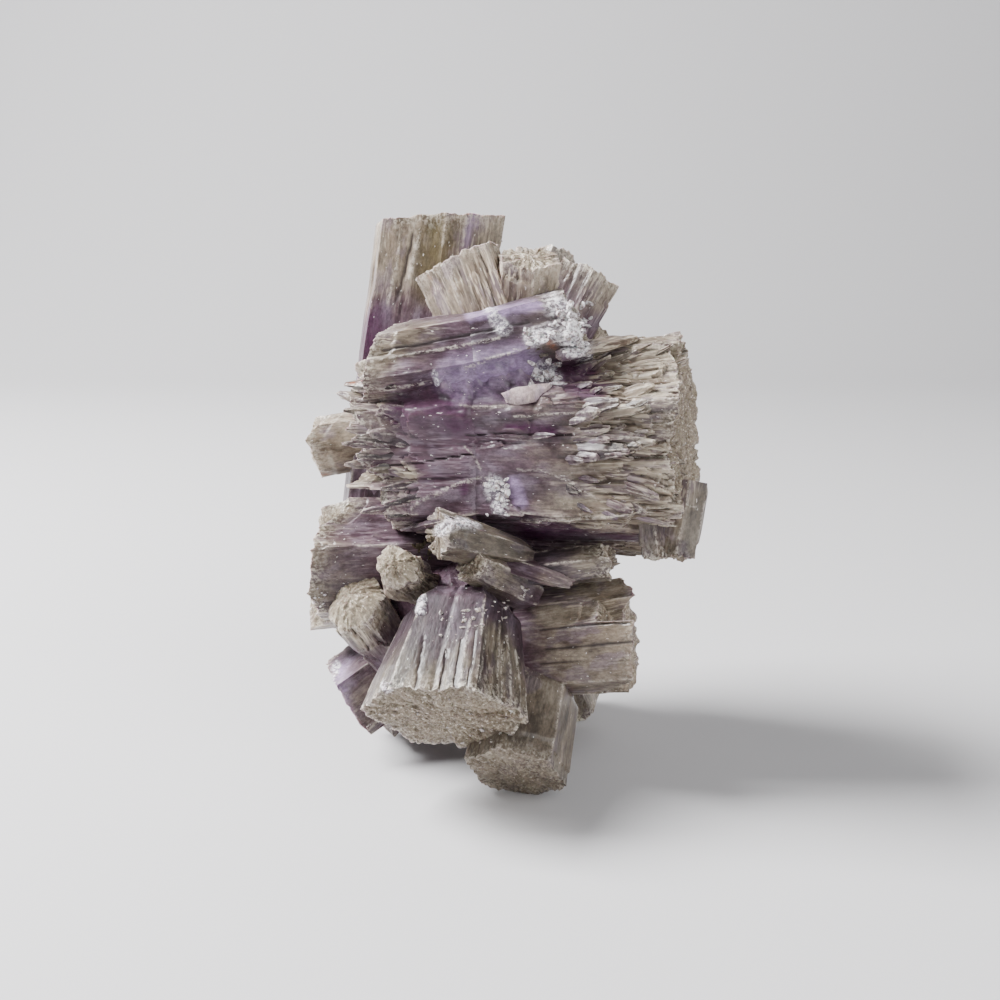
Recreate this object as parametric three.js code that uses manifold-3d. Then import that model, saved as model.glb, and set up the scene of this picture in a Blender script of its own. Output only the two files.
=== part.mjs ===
// Aragonite cluster: a free-standing group of stubby, six-sided twinned crystals that grew into
// each other. Every crystal starts as a cylinder whose vertices are moved to a grooved hexagon,
// stepped where outer laths broke off and ragged at the end. The crystals interpenetrate, so they
// are joined into one solid. Millimetres, +Z up, origin on the ground under the middle.
import * as THREE from 'three';
import { mergeVertices } from 'three/addons/utils/BufferGeometryUtils.js';
import Module from 'manifold-3d';

// Driving dimensions. Root and tip are the two ends of a crystal's axis, radius is half its width
// over two opposite corners, and flat squeezes it across. Taper is the width at the root as a
// share of the width at the tip. Laths is the number of grown-together strips on each side face,
// and ragged is how unevenly they end. Step is how far the surface drops where laths broke off,
// at as many places along the crystal as breaks says. Slant tilts the end face.
const GROUND_TRIM = 0.35;
const MIDDLE_X = 0.3;
const MIDDLE_Y = 0.97;
const SMALLEST_DETAIL = 0.04;

const PLAIN = { flat: 1, roll: 0, dome: 0, groove: 0, slant: 0 };
const BIG = { ...PLAIN, taper: 0.86, laths: 2, breaks: 1, groove: 0.07, ragged: 0.7, step: 0.45 };
const MIDDLE = { ...PLAIN, taper: 0.84, laths: 2, breaks: 1, ragged: 0.6, step: 0.35 };
const SMALL = { ...PLAIN, taper: 0.88, laths: 1, breaks: 1, ragged: 0.4, step: 0.3 };
const SPLINTER = { ...PLAIN, taper: 0.9, laths: 1, breaks: 0, ragged: 0.2, step: 0, dome: 0.4 };

const BARREL = {
  ...BIG, name: 'barrel right', root: [-14.2, 5.6, 36.3], tip: [20.8, -3.0, 38.8], radius: 12.9,
  roll: -4, laths: 3, breaks: 2, ragged: 1.0, step: 0.9,
};

const CRYSTALS = [
  BARREL,
  { ...BIG, name: 'barrel left', root: [0.0, 2.1, 37.3], tip: [-15.4, 5.8, 36.4], radius: 11.6,
    roll: 4, laths: 3, taper: 1.04, ragged: 1.0, step: 0.6, slant: 0.24 },
  { ...BIG, name: 'tall', root: [-14.0, 12.0, 16.2], tip: [-7.6, 15.0, 63.2], radius: 8.7,
    flat: 0.86, roll: 16, taper: 0.95, step: 0.3, ragged: 0.35, breaks: 2 },
  { ...BIG, name: 'tall lower end', root: [-9.6, 13.7, 42.0], tip: [-13.4, 12.0, 14.6],
    radius: 7.9, roll: -16, step: 0.5 },
  { ...BIG, name: 'shoulder left', root: [2.0, 0.0, 50.0], tip: [-13.6, 1.6, 47.0], radius: 7.4,
    flat: 0.66, roll: 18, taper: 0.96, slant: -0.45 },
  { ...BIG, name: 'shoulder right', root: [-6.0, 0.7, 48.2], tip: [9.0, -1.0, 52.0], radius: 7.4,
    flat: 0.66, roll: -18, taper: 0.96, slant: -0.25 },
  { ...BIG, name: 'front foot crystal', root: [-3.8, -6.0, 23.6], tip: [-6.1, -17.0, 12.0],
    radius: 9.0, flat: 0.94, roll: 30, taper: 0.66, step: 0.3 },
  { ...BIG, name: 'left block', root: [-5.0, 6.0, 23.3], tip: [-21.6, 3.0, 23.3], radius: 8.1,
    taper: 0.9, ragged: 1.0, slant: -0.15 },
  { ...BIG, name: 'right block', root: [2.5, -2.0, 15.0], tip: [13.4, -6.6, 17.6], radius: 7.1,
    taper: 0.94 },
  { ...BIG, name: 'bottom foot', root: [5.4, -6.0, 11.2], tip: [1.3, -14.2, 4.1], radius: 6.2,
    roll: 10, taper: 0.9 },
  { ...MIDDLE, name: 'left foot', root: [-8.0, 8.0, 15.8], tip: [-16.8, 4.2, 3.2], radius: 6.3,
    roll: 25 },
  { ...MIDDLE, name: 'heart', root: [-3.6, 6.0, 12.0], tip: [-6.4, 1.0, 25.0], radius: 8.4,
    taper: 1 },
  { ...MIDDLE, name: 'under stub', root: [-2.0, 2.0, 22.0], tip: [-1.2, 3.4, 7.6], radius: 5.0,
    roll: 12 },
  { ...MIDDLE, name: 'comb', root: [-0.4, 1.5, 48.0], tip: [-4.9, 4.6, 58.8], radius: 5.8,
    flat: 0.62, roll: 100, ragged: 0.8 },
  { ...MIDDLE, name: 'cap', root: [2.6, 4.0, 50.0], tip: [3.2, 1.6, 59.4], radius: 4.0, roll: 10 },
  { ...MIDDLE, name: 'right crown', root: [5.3, 8.0, 47.0], tip: [10.2, 12.0, 56.4], radius: 4.6 },
  { ...SMALL, name: 'crown chip', root: [3.5, 8.0, 50.6], tip: [6.6, 13.0, 58.8], radius: 3.0,
    roll: 20 },
  { ...SMALL, name: 'left stub', root: [-12.0, 12.0, 37.6], tip: [-22.4, 12.0, 35.8], radius: 4.0,
    roll: 20 },
  { ...SMALL, name: 'wedge', root: [2.8, -7.0, 25.6], tip: [-4.6, -13.4, 31.4], radius: 3.3 },
  { ...SMALL, name: 'low wedge', root: [2.8, -7.0, 22.7], tip: [-3.1, -11.6, 26.4], radius: 2.3 },
  { ...SMALL, name: 'right plate', root: [0.6, -7.0, 24.8], tip: [12.2, -9.0, 26.9], radius: 2.3,
    flat: 0.7 },
  { ...SMALL, name: 'round stub', root: [-8.6, 0.0, 20.2], tip: [-11.4, -9.4, 26.3], radius: 2.7 },
  { ...SMALL, name: 'left prong', root: [-11.6, 2.0, 11.0], tip: [-16.4, -4.6, 20.9], radius: 3.8 },
  { ...SPLINTER, name: 'corner plate', root: [20.0, -6.5, 39.0], tip: [20.6, -8.4, 28.2],
    radius: 2.1 },
  { ...SPLINTER, name: 'corner prong', root: [16.4, -9.0, 34.0], tip: [17.2, -9.6, 27.8],
    radius: 2.0 },
  { ...BIG, name: 'back upper left', root: [-2.0, 6.0, 34.0], tip: [-12.6, 21.0, 37.5],
    radius: 7.2, roll: 12 },
  { ...BIG, name: 'back middle', root: [4.0, 6.0, 31.0], tip: [10.6, 20.8, 31.4], radius: 7.8 },
  { ...MIDDLE, name: 'back upper right', root: [3.0, 6.0, 40.0], tip: [10.4, 18.6, 47.0],
    radius: 6.0, roll: 15 },
  { ...MIDDLE, name: 'back left foot', root: [-2.0, 6.0, 22.6], tip: [-8.0, 17.0, 3.9],
    radius: 6.6, roll: 8 },
  { ...MIDDLE, name: 'back foot', root: [3.0, 4.0, 22.0], tip: [7.6, 14.8, 2.4], radius: 6.0 },
  { ...MIDDLE, name: 'back right', root: [6.0, 4.0, 34.0], tip: [19.6, 12.4, 35.6], radius: 5.8,
    roll: 20 },
  { ...MIDDLE, name: 'back low middle', root: [2.0, 8.0, 26.0], tip: [2.6, 21.4, 19.4],
    radius: 5.2, roll: 10 },
];

// Broken laths on the barrel: turn is the angle round its axis from the front, in degrees, upwards
// first; along is where the lath's end lies from the barrel's root, in millimetres.
const FRONT_LATHS = [
  { turn: 66, along: 29.7, length: 12, width: 3.4, proud: 0.9 },
  { turn: 52, along: 28.2, length: 10, width: 2.6, proud: 0.5 },
  { turn: 42, along: 29.2, length: 9, width: 3.8, proud: 1.0 },
  { turn: 36, along: 34.4, length: 9, width: 4.6, proud: 0.6 },
  { turn: 29, along: 31.8, length: 5, width: 2.0, proud: 1.0 },
  { turn: 21, along: 28.0, length: 11, width: 2.0, proud: 1.0 },
  { turn: 13, along: 34.2, length: 8, width: 2.6, proud: 0.5 },
  { turn: 9, along: 33.0, length: 7, width: 1.9, proud: 1.0 },
  { turn: 0, along: 28.4, length: 9, width: 2.9, proud: 1.2 },
  { turn: 3, along: 31.2, length: 6, width: 2.2, proud: 0.6 },
  { turn: -6, along: 33.2, length: 7, width: 2.0, proud: 0.8 },
  { turn: -12, along: 32.0, length: 9, width: 2.4, proud: 0.7 },
  { turn: -21, along: 29.7, length: 12, width: 2.8, proud: 0.5 },
  { turn: -28, along: 24.2, length: 12, width: 3.2, proud: 0.5 },
  { turn: 24, along: 19.2, length: 12, width: 3.6, proud: 0.5 },
];
const HIDDEN_LATHS = 9;
const HIDDEN_LATH_START = 100;
const HIDDEN_LATH_TURN = 22;
const LEFT_LATHS = 8;

const HEXAGON = 6;
const GROOVE_DEPTH = 0.09;

// A repeatable random number from -1 to 1 for a crystal, a strip of it and a use.
function jitter(crystal, strip, use) {
  const sine = Math.sin(crystal * 127.1 + strip * 311.7 + use * 74.7) * 43758.5453;
  return 2 * (sine - Math.floor(sine)) - 1;
}

// The outline of a crystal across its axis, as unit points round a hexagon. Each groove between
// two laths is a notch with a valley, which has edges of its own on the big crystals, and every
// point knows the strip that it belongs to.
function groovedHexagon(laths, halfWidth) {
  const outline = [];
  for (let side = 0; side < HEXAGON; side += 1) {
    const start = new THREE.Vector2(1, 0).rotateAround(new THREE.Vector2(), cornerAngle(side));
    const end = new THREE.Vector2(1, 0).rotateAround(new THREE.Vector2(), cornerAngle(side + 1));
    outline.push({ point: start, strip: side * laths });
    for (let groove = 1; groove < laths; groove += 1) {
      const strip = side * laths + groove;
      const middle = groove / laths;
      const valley = start.clone().lerp(end, middle).multiplyScalar(1 - GROOVE_DEPTH);
      const edges = halfWidth > 0 ? [middle - halfWidth, middle + halfWidth] : [];
      const [before, after] = edges.map((share) => start.clone().lerp(end, share));
      if (before) outline.push({ point: before, strip: strip - 1 });
      outline.push({ point: valley, strip });
      if (after) outline.push({ point: after, strip });
    }
  }
  return outline;
}

function cornerAngle(side) {
  return THREE.MathUtils.degToRad(30 + (360 / HEXAGON) * side);
}

// The rings of a crystal from root to tip: how far along the axis, how wide, how much of the
// ragged end it takes, and whether it lies above the break where the laths step in.
function ringsOf(spec) {
  const wide = (share) => spec.taper + (1 - spec.taper) * share;
  const rings = [{ along: 0, width: wide(0), ragged: 0, stepped: 0, breakLine: 0 }];
  for (let line = 1; line <= spec.breaks; line += 1) {
    const along = line === spec.breaks ? 0.78 : 0.5;
    rings.push({ along, width: wide(along), ragged: 0, stepped: line - 1, breakLine: line });
    rings.push({ along: along + 0.03, width: wide(along), ragged: 0, stepped: line, breakLine: line });
  }
  rings.push({ along: 1, width: 1, ragged: 1, stepped: spec.breaks, breakLine: 0 });
  rings.push({ along: 1, width: 0.8, ragged: 0.25, stepped: 0, breakLine: 0 });
  return rings;
}

// A frame across the axis: level points sideways and lift points up along the crystal's side.
function axisFrame(root, tip, rollDegrees) {
  const axis = tip.clone().sub(root).normalize();
  const upright = Math.abs(axis.z) < 0.9 ? new THREE.Vector3(0, 0, 1) : new THREE.Vector3(0, 1, 0);
  const level = upright.cross(axis).normalize();
  const lift = axis.clone().cross(level);
  const roll = THREE.MathUtils.degToRad(rollDegrees);
  level.applyAxisAngle(axis, roll);
  lift.applyAxisAngle(axis, roll);
  return { axis, level, lift };
}

// One crystal as a closed geometry: the grid of a cylinder, its columns laid on the grooved
// hexagon and its rows on the rings. The rim and the middle of the end face end unevenly.
function crystalGeometry(spec, number) {
  const outline = groovedHexagon(spec.laths, spec.groove);
  const rings = ringsOf(spec);
  const grid = new THREE.CylinderGeometry(1, 1, 1, outline.length, rings.length - 1);
  grid.deleteAttribute('normal');
  grid.deleteAttribute('uv');
  const geometry = mergeVertices(grid);
  const root = new THREE.Vector3(...spec.root);
  const tip = new THREE.Vector3(...spec.tip);
  const length = root.distanceTo(tip);
  const { axis, level, lift } = axisFrame(root, tip, spec.roll);
  const position = geometry.attributes.position;
  const vertex = new THREE.Vector3();
  for (let index = 0; index < position.count; index += 1) {
    vertex.fromBufferAttribute(position, index);
    const share = vertex.y + 0.5;
    const onAxis = Math.hypot(vertex.x, vertex.z) < 0.5;
    const ring = rings[Math.round(share * (rings.length - 1))];
    const angle = Math.atan2(vertex.x, vertex.z);
    const turn = (angle + 2 * Math.PI) / (2 * Math.PI);
    const column = Math.round(turn * outline.length) % outline.length;
    const { point, strip } = outline[column];
    const broken = ring.breakLine * jitter(number, strip, ring.breakLine) * 0.06;
    const uneven = ring.ragged * spec.ragged * jitter(number, strip, 3);
    const drop = spec.step * ring.stepped * (0.5 + 0.5 * jitter(number, strip, 4));
    const middle = share > 0.5 ? length + spec.dome * spec.radius : 0;
    const radius = onAxis ? 0 : spec.radius * ring.width - drop;
    const tilt = share > 0.8 ? spec.slant * radius * spec.flat * point.y : 0;
    const rimOrSide = length * (ring.along + broken) + uneven + tilt + domeAt(spec, ring);
    const reach = onAxis ? middle : rimOrSide;
    vertex.copy(root);
    vertex.addScaledVector(axis, reach);
    vertex.addScaledVector(level, radius * point.x);
    vertex.addScaledVector(lift, radius * spec.flat * point.y);
    position.setXYZ(index, vertex.x, vertex.y, vertex.z);
  }
  return geometry;
}

// A domed end: its inner ring stands out by part of the dome's height.
function domeAt(spec, ring) {
  return ring.along === 1 && ring.width < 0.9 ? 0.6 * spec.dome * spec.radius : 0;
}

// A lath lying on the barrel, given by its turn round the barrel's axis and the place of its end.
function lathOnBarrel(lath) {
  const root = new THREE.Vector3(...BARREL.root);
  const tip = new THREE.Vector3(...BARREL.tip);
  const { axis, level } = axisFrame(root, tip, 0);
  const towardsFront = level.clone().negate();
  const outward = towardsFront.applyAxisAngle(axis, THREE.MathUtils.degToRad(-lath.turn));
  const apothem = BARREL.radius * Math.cos(Math.PI / HEXAGON);
  const fromFace = ((lath.turn % 60) + 90) % 60 - 30;
  const wide = BARREL.taper + (1 - BARREL.taper) * (lath.along / root.distanceTo(tip));
  const surface = (apothem * wide) / Math.cos(THREE.MathUtils.degToRad(fromFace));
  const end = root.clone().addScaledVector(axis, lath.along);
  end.addScaledVector(outward, surface + lath.proud - 0.5 * lath.width * SPLINTER.flat);
  const start = end.clone().addScaledVector(axis, -lath.length);
  start.addScaledVector(outward, -lath.proud - 0.4);
  return {
    ...SPLINTER, root: start.toArray(), tip: end.toArray(), radius: lath.width / 2,
    flat: 0.75, roll: 90 - lath.turn,
  };
}

// Laths all round the hidden side of the barrel, in three staggered rows.
function hiddenLaths() {
  const laths = [];
  for (let number = 0; number < HIDDEN_LATHS; number += 1) {
    laths.push({
      turn: HIDDEN_LATH_START + HIDDEN_LATH_TURN * number,
      along: 31.5 - 4 * (number % 3) + jitter(number, 1, 6),
      length: 10 + 2 * jitter(number, 2, 6),
      width: 3 + 0.8 * jitter(number, 3, 6),
      proud: 0.8,
    });
  }
  return laths;
}

// Short laths that stick out of the barrel's left end, round its rim.
function leftLaths() {
  const left = CRYSTALS.find((crystal) => crystal.name === 'barrel left');
  const root = new THREE.Vector3(...left.root);
  const tip = new THREE.Vector3(...left.tip);
  const { axis, level, lift } = axisFrame(root, tip, 0);
  const laths = [];
  for (let number = 0; number < LEFT_LATHS; number += 1) {
    const angle = (2 * Math.PI * (number + 0.4)) / LEFT_LATHS;
    const across = 9.0 + 0.8 * jitter(number, 4, 7);
    const out = tip.clone().addScaledVector(level, across * Math.cos(angle));
    out.addScaledVector(lift, across * Math.sin(angle));
    const slanted = left.slant * across * Math.sin(angle);
    out.addScaledVector(axis, slanted + 0.8 * jitter(number, 5, 7) - 1.2);
    const back = out.clone().addScaledVector(axis, -6);
    const roll = THREE.MathUtils.radToDeg(angle) + 90;
    laths.push({ ...SPLINTER, root: back.toArray(), tip: out.toArray(), radius: 2.2, roll });
  }
  return laths;
}

// Joining the crystals
const wasm = await Module();
wasm.setup();

function solidFrom(geometry) {
  return new wasm.Manifold(new wasm.Mesh({
    numProp: 3,
    vertProperties: geometry.attributes.position.array,
    triVerts: new Uint32Array(geometry.index.array),
  }));
}

function geometryFrom(solid) {
  const mesh = solid.getMesh();
  const geometry = new THREE.BufferGeometry();
  geometry.setAttribute('position', new THREE.BufferAttribute(mesh.vertProperties, 3));
  geometry.setIndex(new THREE.BufferAttribute(mesh.triVerts, 1));
  return geometry;
}

// Everything below the ground is cut off, so the feet end in small flats at height zero.
function groundBlock() {
  const block = new THREE.BoxGeometry(100, 100, 20);
  block.deleteAttribute('normal');
  block.deleteAttribute('uv');
  block.translate(0, 0, -10 + GROUND_TRIM);
  return solidFrom(mergeVertices(block));
}

const laths = [...FRONT_LATHS, ...hiddenLaths()].map(lathOnBarrel);
const everyCrystal = [...CRYSTALS, ...laths, ...leftLaths()];
let cluster = solidFrom(crystalGeometry(everyCrystal[0], 1));
for (let number = 1; number < everyCrystal.length; number += 1) {
  cluster = cluster.add(solidFrom(crystalGeometry(everyCrystal[number], number + 1)));
}
const outerShells = cluster.subtract(groundBlock()).simplify(SMALLEST_DETAIL).decompose();
cluster = outerShells.reduce((most, shell) => (shell.volume() > most.volume() ? shell : most));

const crystalMaterial = new THREE.MeshStandardMaterial({
  color: 0x9a8f86,
  roughness: 0.5,
  metalness: 0,
  flatShading: true,
});
const aragonite = new THREE.Mesh(geometryFrom(cluster), crystalMaterial);
aragonite.name = 'crystal_cluster';
aragonite.position.set(-MIDDLE_X, -MIDDLE_Y, -GROUND_TRIM);

const group = new THREE.Group();
group.add(aragonite);
export default group;
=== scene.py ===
# %% [markdown]
# # An aragonite cluster
#
# The object is a hand-sized group of stubby aragonite crystals that grew out of one centre and
# into each other. Each crystal is a twin: six-sided to the eye, grooved along its length where
# thin laths meet, purple near the middle of the group and khaki at its broken, pitted end.
# This lesson builds the crystals as grids of points worked out with numpy, round a solid model
# that already has the right sizes. All lengths in the tables are millimetres.

import bpy
import numpy as np
from mathutils.bvhtree import BVHTree
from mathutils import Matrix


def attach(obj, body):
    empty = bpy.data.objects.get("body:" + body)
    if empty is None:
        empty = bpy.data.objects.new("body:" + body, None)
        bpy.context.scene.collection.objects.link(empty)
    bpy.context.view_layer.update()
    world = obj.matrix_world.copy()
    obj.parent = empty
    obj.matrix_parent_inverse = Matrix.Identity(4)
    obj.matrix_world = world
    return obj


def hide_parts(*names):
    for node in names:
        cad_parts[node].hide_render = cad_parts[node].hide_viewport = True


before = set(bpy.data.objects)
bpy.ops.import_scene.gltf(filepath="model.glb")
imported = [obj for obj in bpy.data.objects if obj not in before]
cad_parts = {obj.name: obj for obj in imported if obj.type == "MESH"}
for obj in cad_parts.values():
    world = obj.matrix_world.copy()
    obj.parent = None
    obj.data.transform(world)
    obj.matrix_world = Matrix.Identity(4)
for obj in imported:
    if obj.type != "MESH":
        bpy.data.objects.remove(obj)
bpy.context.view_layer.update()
MM = 0.001
SOLID = "crystal_cluster"

# %% [markdown]
# The crystals' roots and tips below are measured from the place where the group started to
# grow, as they are in the solid model. The solid was then moved so that it stands on the
# ground with its middle over the origin, and this shift does the same here.

# %% Where the group stands
STANDING_SHIFT = np.array([-0.3, -0.97, -0.35])
print("the group is moved by", STANDING_SHIFT, "mm")

# %% [markdown]
# The camera comes first, because some details are placed by where it sees them. It looks
# slightly down on the group from a hand's width away. A long lens keeps the crystals' edges
# nearly parallel.

# %% The camera
VIEW_FROM = np.array([-0.3, -169.57, 70.45])
VIEW_PITCH = np.radians(13.0)
FOCAL_PX = 1500.0
MIDDLE_PX = 500.0
SENSOR = 36.0
VIEW_AXIS = np.array([0.0, np.cos(VIEW_PITCH), -np.sin(VIEW_PITCH)])
VIEW_UP = np.array([0.0, np.sin(VIEW_PITCH), np.cos(VIEW_PITCH)])

camera_data = bpy.data.cameras.new("front_camera")
camera_data.sensor_width = SENSOR
camera_data.lens = FOCAL_PX / (2 * MIDDLE_PX) * SENSOR
camera = bpy.data.objects.new("front_camera", camera_data)
bpy.context.scene.collection.objects.link(camera)
camera.location = VIEW_FROM * MM
camera.rotation_euler = (np.pi / 2 - VIEW_PITCH, 0.0, 0.0)
bpy.context.scene.camera = camera


def seen_at(points):
    """Pixels where the camera sees points: sideways and up over depth, times the focal length."""
    offset = points - VIEW_FROM
    scale = FOCAL_PX / (offset @ VIEW_AXIS)
    return np.stack([MIDDLE_PX + scale * offset[..., 0], MIDDLE_PX - scale * (offset @ VIEW_UP)], -1)


print("lens", camera_data.lens, "mm; the origin is seen at", seen_at(np.zeros(3)).round(1))

# %% [markdown]
# Natural surfaces are uneven in a way that never repeats, but a script has to give the same
# result each time it runs. Instead of a random generator, the noise here is a hash: it turns
# whole numbers into a fraction that looks random and is always the same.

# %% Repeatable noise
MIX_A, MIX_B, MIX_SEED, MIX_AGAIN = 374761393, 668265263, 974711, 1274126177
BITS_32, BITS_24 = 0xFFFFFFFF, 0xFFFFFF
EDGE_JITTER = 0.7
FAR = 9.0


def hashed(a, b, seed):
    """A fraction from 0 to 1 for two arrays of whole numbers and a seed."""
    mixed = (np.asarray(a).astype(np.int64) * MIX_A
             + np.asarray(b).astype(np.int64) * MIX_B + int(seed) * MIX_SEED) & BITS_32
    mixed = ((mixed ^ (mixed >> 13)) * MIX_AGAIN) & BITS_32
    return ((mixed ^ (mixed >> 16)) & BITS_24) / BITS_24


def ease(t):
    """3t² - 2t³ between 0 and 1: a step with soft ends."""
    t = np.clip(t, 0.0, 1.0)
    return t * t * (3.0 - 2.0 * t)


def ripple(u, v, seed):
    """Smooth noise from -1 to 1: hashed heights at whole u and v, eased in between."""
    u, v = np.broadcast_arrays(u, v)
    column, row = np.floor(u), np.floor(v)
    right, up = ease(u - column), ease(v - row)
    low = hashed(column, row, seed) * (1 - right) + hashed(column + 1, row, seed) * right
    high = hashed(column, row + 1, seed) * (1 - right) + hashed(column + 1, row + 1, seed) * right
    return 2.0 * (low * (1 - up) + high * up) - 1.0


def waves(s, z, table, seed):
    """A sum of ripples, one for each row: its length along s, its length along z, its height."""
    return sum(height * ripple(s / across, z / along, seed + k)
               for k, (across, along, height) in enumerate(table))


def laths_across(s, width, seed):
    """Which lath a place s millimetres round the outline is in, and how far its edge is.

    Edges lie at (k + jitter) × width for whole k, with a hashed jitter under half a lath.
    """
    nearest = np.floor(s / width + 0.5)
    edge = (nearest + EDGE_JITTER * (hashed(nearest, 7, seed) - 0.5)) * width
    return np.where(s < edge, nearest - 1, nearest), np.abs(s - edge)


def grain_cells(x, y, seed):
    """Cells round hashed points, one in each unit square.

    Gives each cell's own fraction and how near a place is to the border between two cells:
    the second smallest distance to a point less the smallest.
    """
    column, row = np.floor(x), np.floor(y)
    first = np.full(x.shape, FAR)
    second = first.copy()
    own = np.zeros(x.shape)
    for i in (-1, 0, 1):
        for j in (-1, 0, 1):
            a, b = column + i, row + j
            away = np.hypot(a + hashed(a, b, seed) - x, b + hashed(a, b, seed + 5) - y)
            closer = away < first
            second = np.where(closer, first, np.minimum(second, away))
            own = np.where(closer, hashed(a, b, seed + 9), own)
            first = np.where(closer, away, first)
    return own, second - first


print("hashed fractions for 0, 1 and 2:", hashed(np.arange(3), 0, 1).round(3))

# %% [markdown]
# Time and knocks have left marks: chalky bruises, cracks, rust from the clay, and patches of
# deeper colour; crests are pale lines of painted highlight. Each is a stroke: a line through
# pixels of the camera's view with a half width, and how far it stands out or is sunk. A thin
# stroke has a crisp edge and a wide one fades out.
# A stroke only takes on surfaces that face the camera and belong to its own group of crystals,
# so nothing shines through to the back.

# %% Strokes on a surface
KINDS = ("bruise", "crest", "crack", "violet", "lavender", "khaki", "olive", "rust", "smooth")
SOFT_FROM = 5
CRISP, SOFT = (0.55, 0.9), (0.1, 1.5)
MOST_SWERVE = 8
COARSE_SWERVE = ((9, 7), (8, 6), 0.3)
FINE_SWERVE = ((3.5, 3), (3, 2.6), 0.2)
STROKE_FACING = (0.0, 0.35)


def facing(points, outward, lead, run):
    """How far a surface faces the camera: its cosine plus a lead, over a run, eased."""
    towards = VIEW_FROM - points
    towards /= np.linalg.norm(towards, axis=-1, keepdims=True)
    return ease(((towards * outward).sum(-1) + lead) / run)


def swerves(seen, first, second, seed):
    """A ripple for each of the picture's two directions, with waves of so many pixels."""
    return np.stack([ripple(seen[..., 0] / wave[0], seen[..., 1] / wave[1], seed + k)
                     for k, wave in enumerate((first, second))], -1)


def stroke_share(seen, line, half):
    """1 near the line through pixels and 0 further off: distance over half width, eased."""
    line = np.array(line, float)
    nearest = np.full(seen.shape[:-1], np.inf)
    for start, end in zip(line[:-1], line[1:]):
        run = end - start
        along = np.clip(((seen - start) @ run) / (run @ run), 0, 1)
        gap = np.linalg.norm(seen - start - along[..., None] * run, axis=-1)
        nearest = np.minimum(nearest, gap)
    hard_part, fading = CRISP if half < SOFT_FROM else SOFT
    return 1 - ease((nearest / half - hard_part) / fading)


def strokes_on(points, outward, strokes):
    """Each kind's share and the millimetres of relief that the strokes give to points."""
    shares = {kind: np.zeros(points.shape[:-1]) for kind in KINDS}
    relief = np.zeros(points.shape[:-1])
    if not strokes:
        return shares, relief
    turned = facing(points, outward, *STROKE_FACING)
    seen = seen_at(points)
    uneven = COARSE_SWERVE[2] * swerves(seen, *COARSE_SWERVE[:2], 71)
    fine = FINE_SWERVE[2] * swerves(seen, *FINE_SWERVE[:2], 73)
    for kind, half, raised, line in strokes:
        swerve = min(half, MOST_SWERVE) * (uneven + fine if kind else uneven)
        share = turned * stroke_share(seen + swerve, line, half)
        relief += raised * share
        if kind:
            shares[kind] = np.maximum(shares[kind], share)
    return shares, relief


print(len(KINDS), "kinds of mark:", ", ".join(KINDS))

# %% [markdown]
# A twinned aragonite crystal is a bundle of laths with a six-sided outline. Its sides are
# flat facets cut by grooves that run the whole length; the laths end unevenly, and where outer
# ones broke off the surface drops by a ledge. One grid can say all of this: a point is given
# by its place round the outline and its place along a profile that goes from the root up the
# side, over the rim and in to the middle of the end face.

# %% The frame of one crystal
SIX = 6
NEARLY_UPRIGHT = 0.9


def axis_frame(root, tip, roll, outward=None):
    """Unit vectors: along the crystal, level across it, and lifted across it, turned by roll."""
    axis = (tip - root) / np.linalg.norm(tip - root)
    if outward is None:
        outward = np.array([0.0, 0.0, 1.0] if abs(axis[2]) < NEARLY_UPRIGHT else [0.0, 1.0, 0.0])
    level = np.cross(outward, axis)
    level /= np.linalg.norm(level)
    lift = np.cross(axis, level)
    c, s = np.cos(np.radians(roll)), np.sin(np.radians(roll))
    return axis, c * level + s * lift, c * lift - s * level


def hexagon(count):
    """count points per side on a hexagon whose corners lie one unit from the middle."""
    place = np.arange(SIX * count) / count
    side = np.floor(place)
    share = place - side
    corner = np.radians(30 + 60 * side)
    following = corner + np.radians(60)
    x = np.cos(corner) * (1 - share) + np.cos(following) * share
    y = np.sin(corner) * (1 - share) + np.sin(following) * share
    return x, y, place, share


print("a hexagon with one point per side:", hexagon(1)[0].round(2), hexagon(1)[1].round(2))

# %% [markdown]
# The relief on the sides is a sum over three widths of lath, from about two millimetres down to
# half of one. Each lath stands a little higher or lower than its neighbour, a groove runs
# between them and comes and goes along the crystal, and the ends of broken laths overlap like
# shingles: the surface rises slowly towards the tip and then drops. The purple middle is smoother
# than the khaki end. Numbers that are added to a seed only keep one noise apart from another.

# %% Relief on the sides of a crystal
LATH_SCALES = ((2.3, 0.20), (0.95, 0.13), (0.45, 0.07))
LATH_STEP, LATH_RUN = 1.5, 9.0
GROOVE_CUT, GROOVE_SHARE, GROOVE_LEAST = 1.3, 0.12, 0.04
GROOVE_MEAN, GROOVE_SWING, GROOVE_WAVE = 0.55, 0.45, 4.0
SHINGLE_SCALES = ((2.1, 6.5), (1.0, 3.2))
SHINGLE_BOW, SHINGLE_MEAN, SHINGLE_FADE = 0.25, 0.35, 0.25
ROUGH_AT_ROOT, ROUGH_LEAD, ROUGH_RUN = 0.4, 0.2, 0.35
WANDER_WAVES = ((5.0, 6.0, 0.35), (1.5, 2.0, 0.1))
SWELL_WAVES = ((3.0, 5.0, 0.12),)
GLASSY_WAVES = ((5.5, 7.0, 0.45), (1.6, 3.0, 0.2))
TONE_SCALES = ((1.9, 7.0, 0.3), (0.8, 3.6, 0.4), (0.4, 2.4, 0.3))
TONE_WANDER = ((3.0, 4.0, 0.25),)
TONE_ENDS = ((0.5, 1.0, 0.15),)


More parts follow.
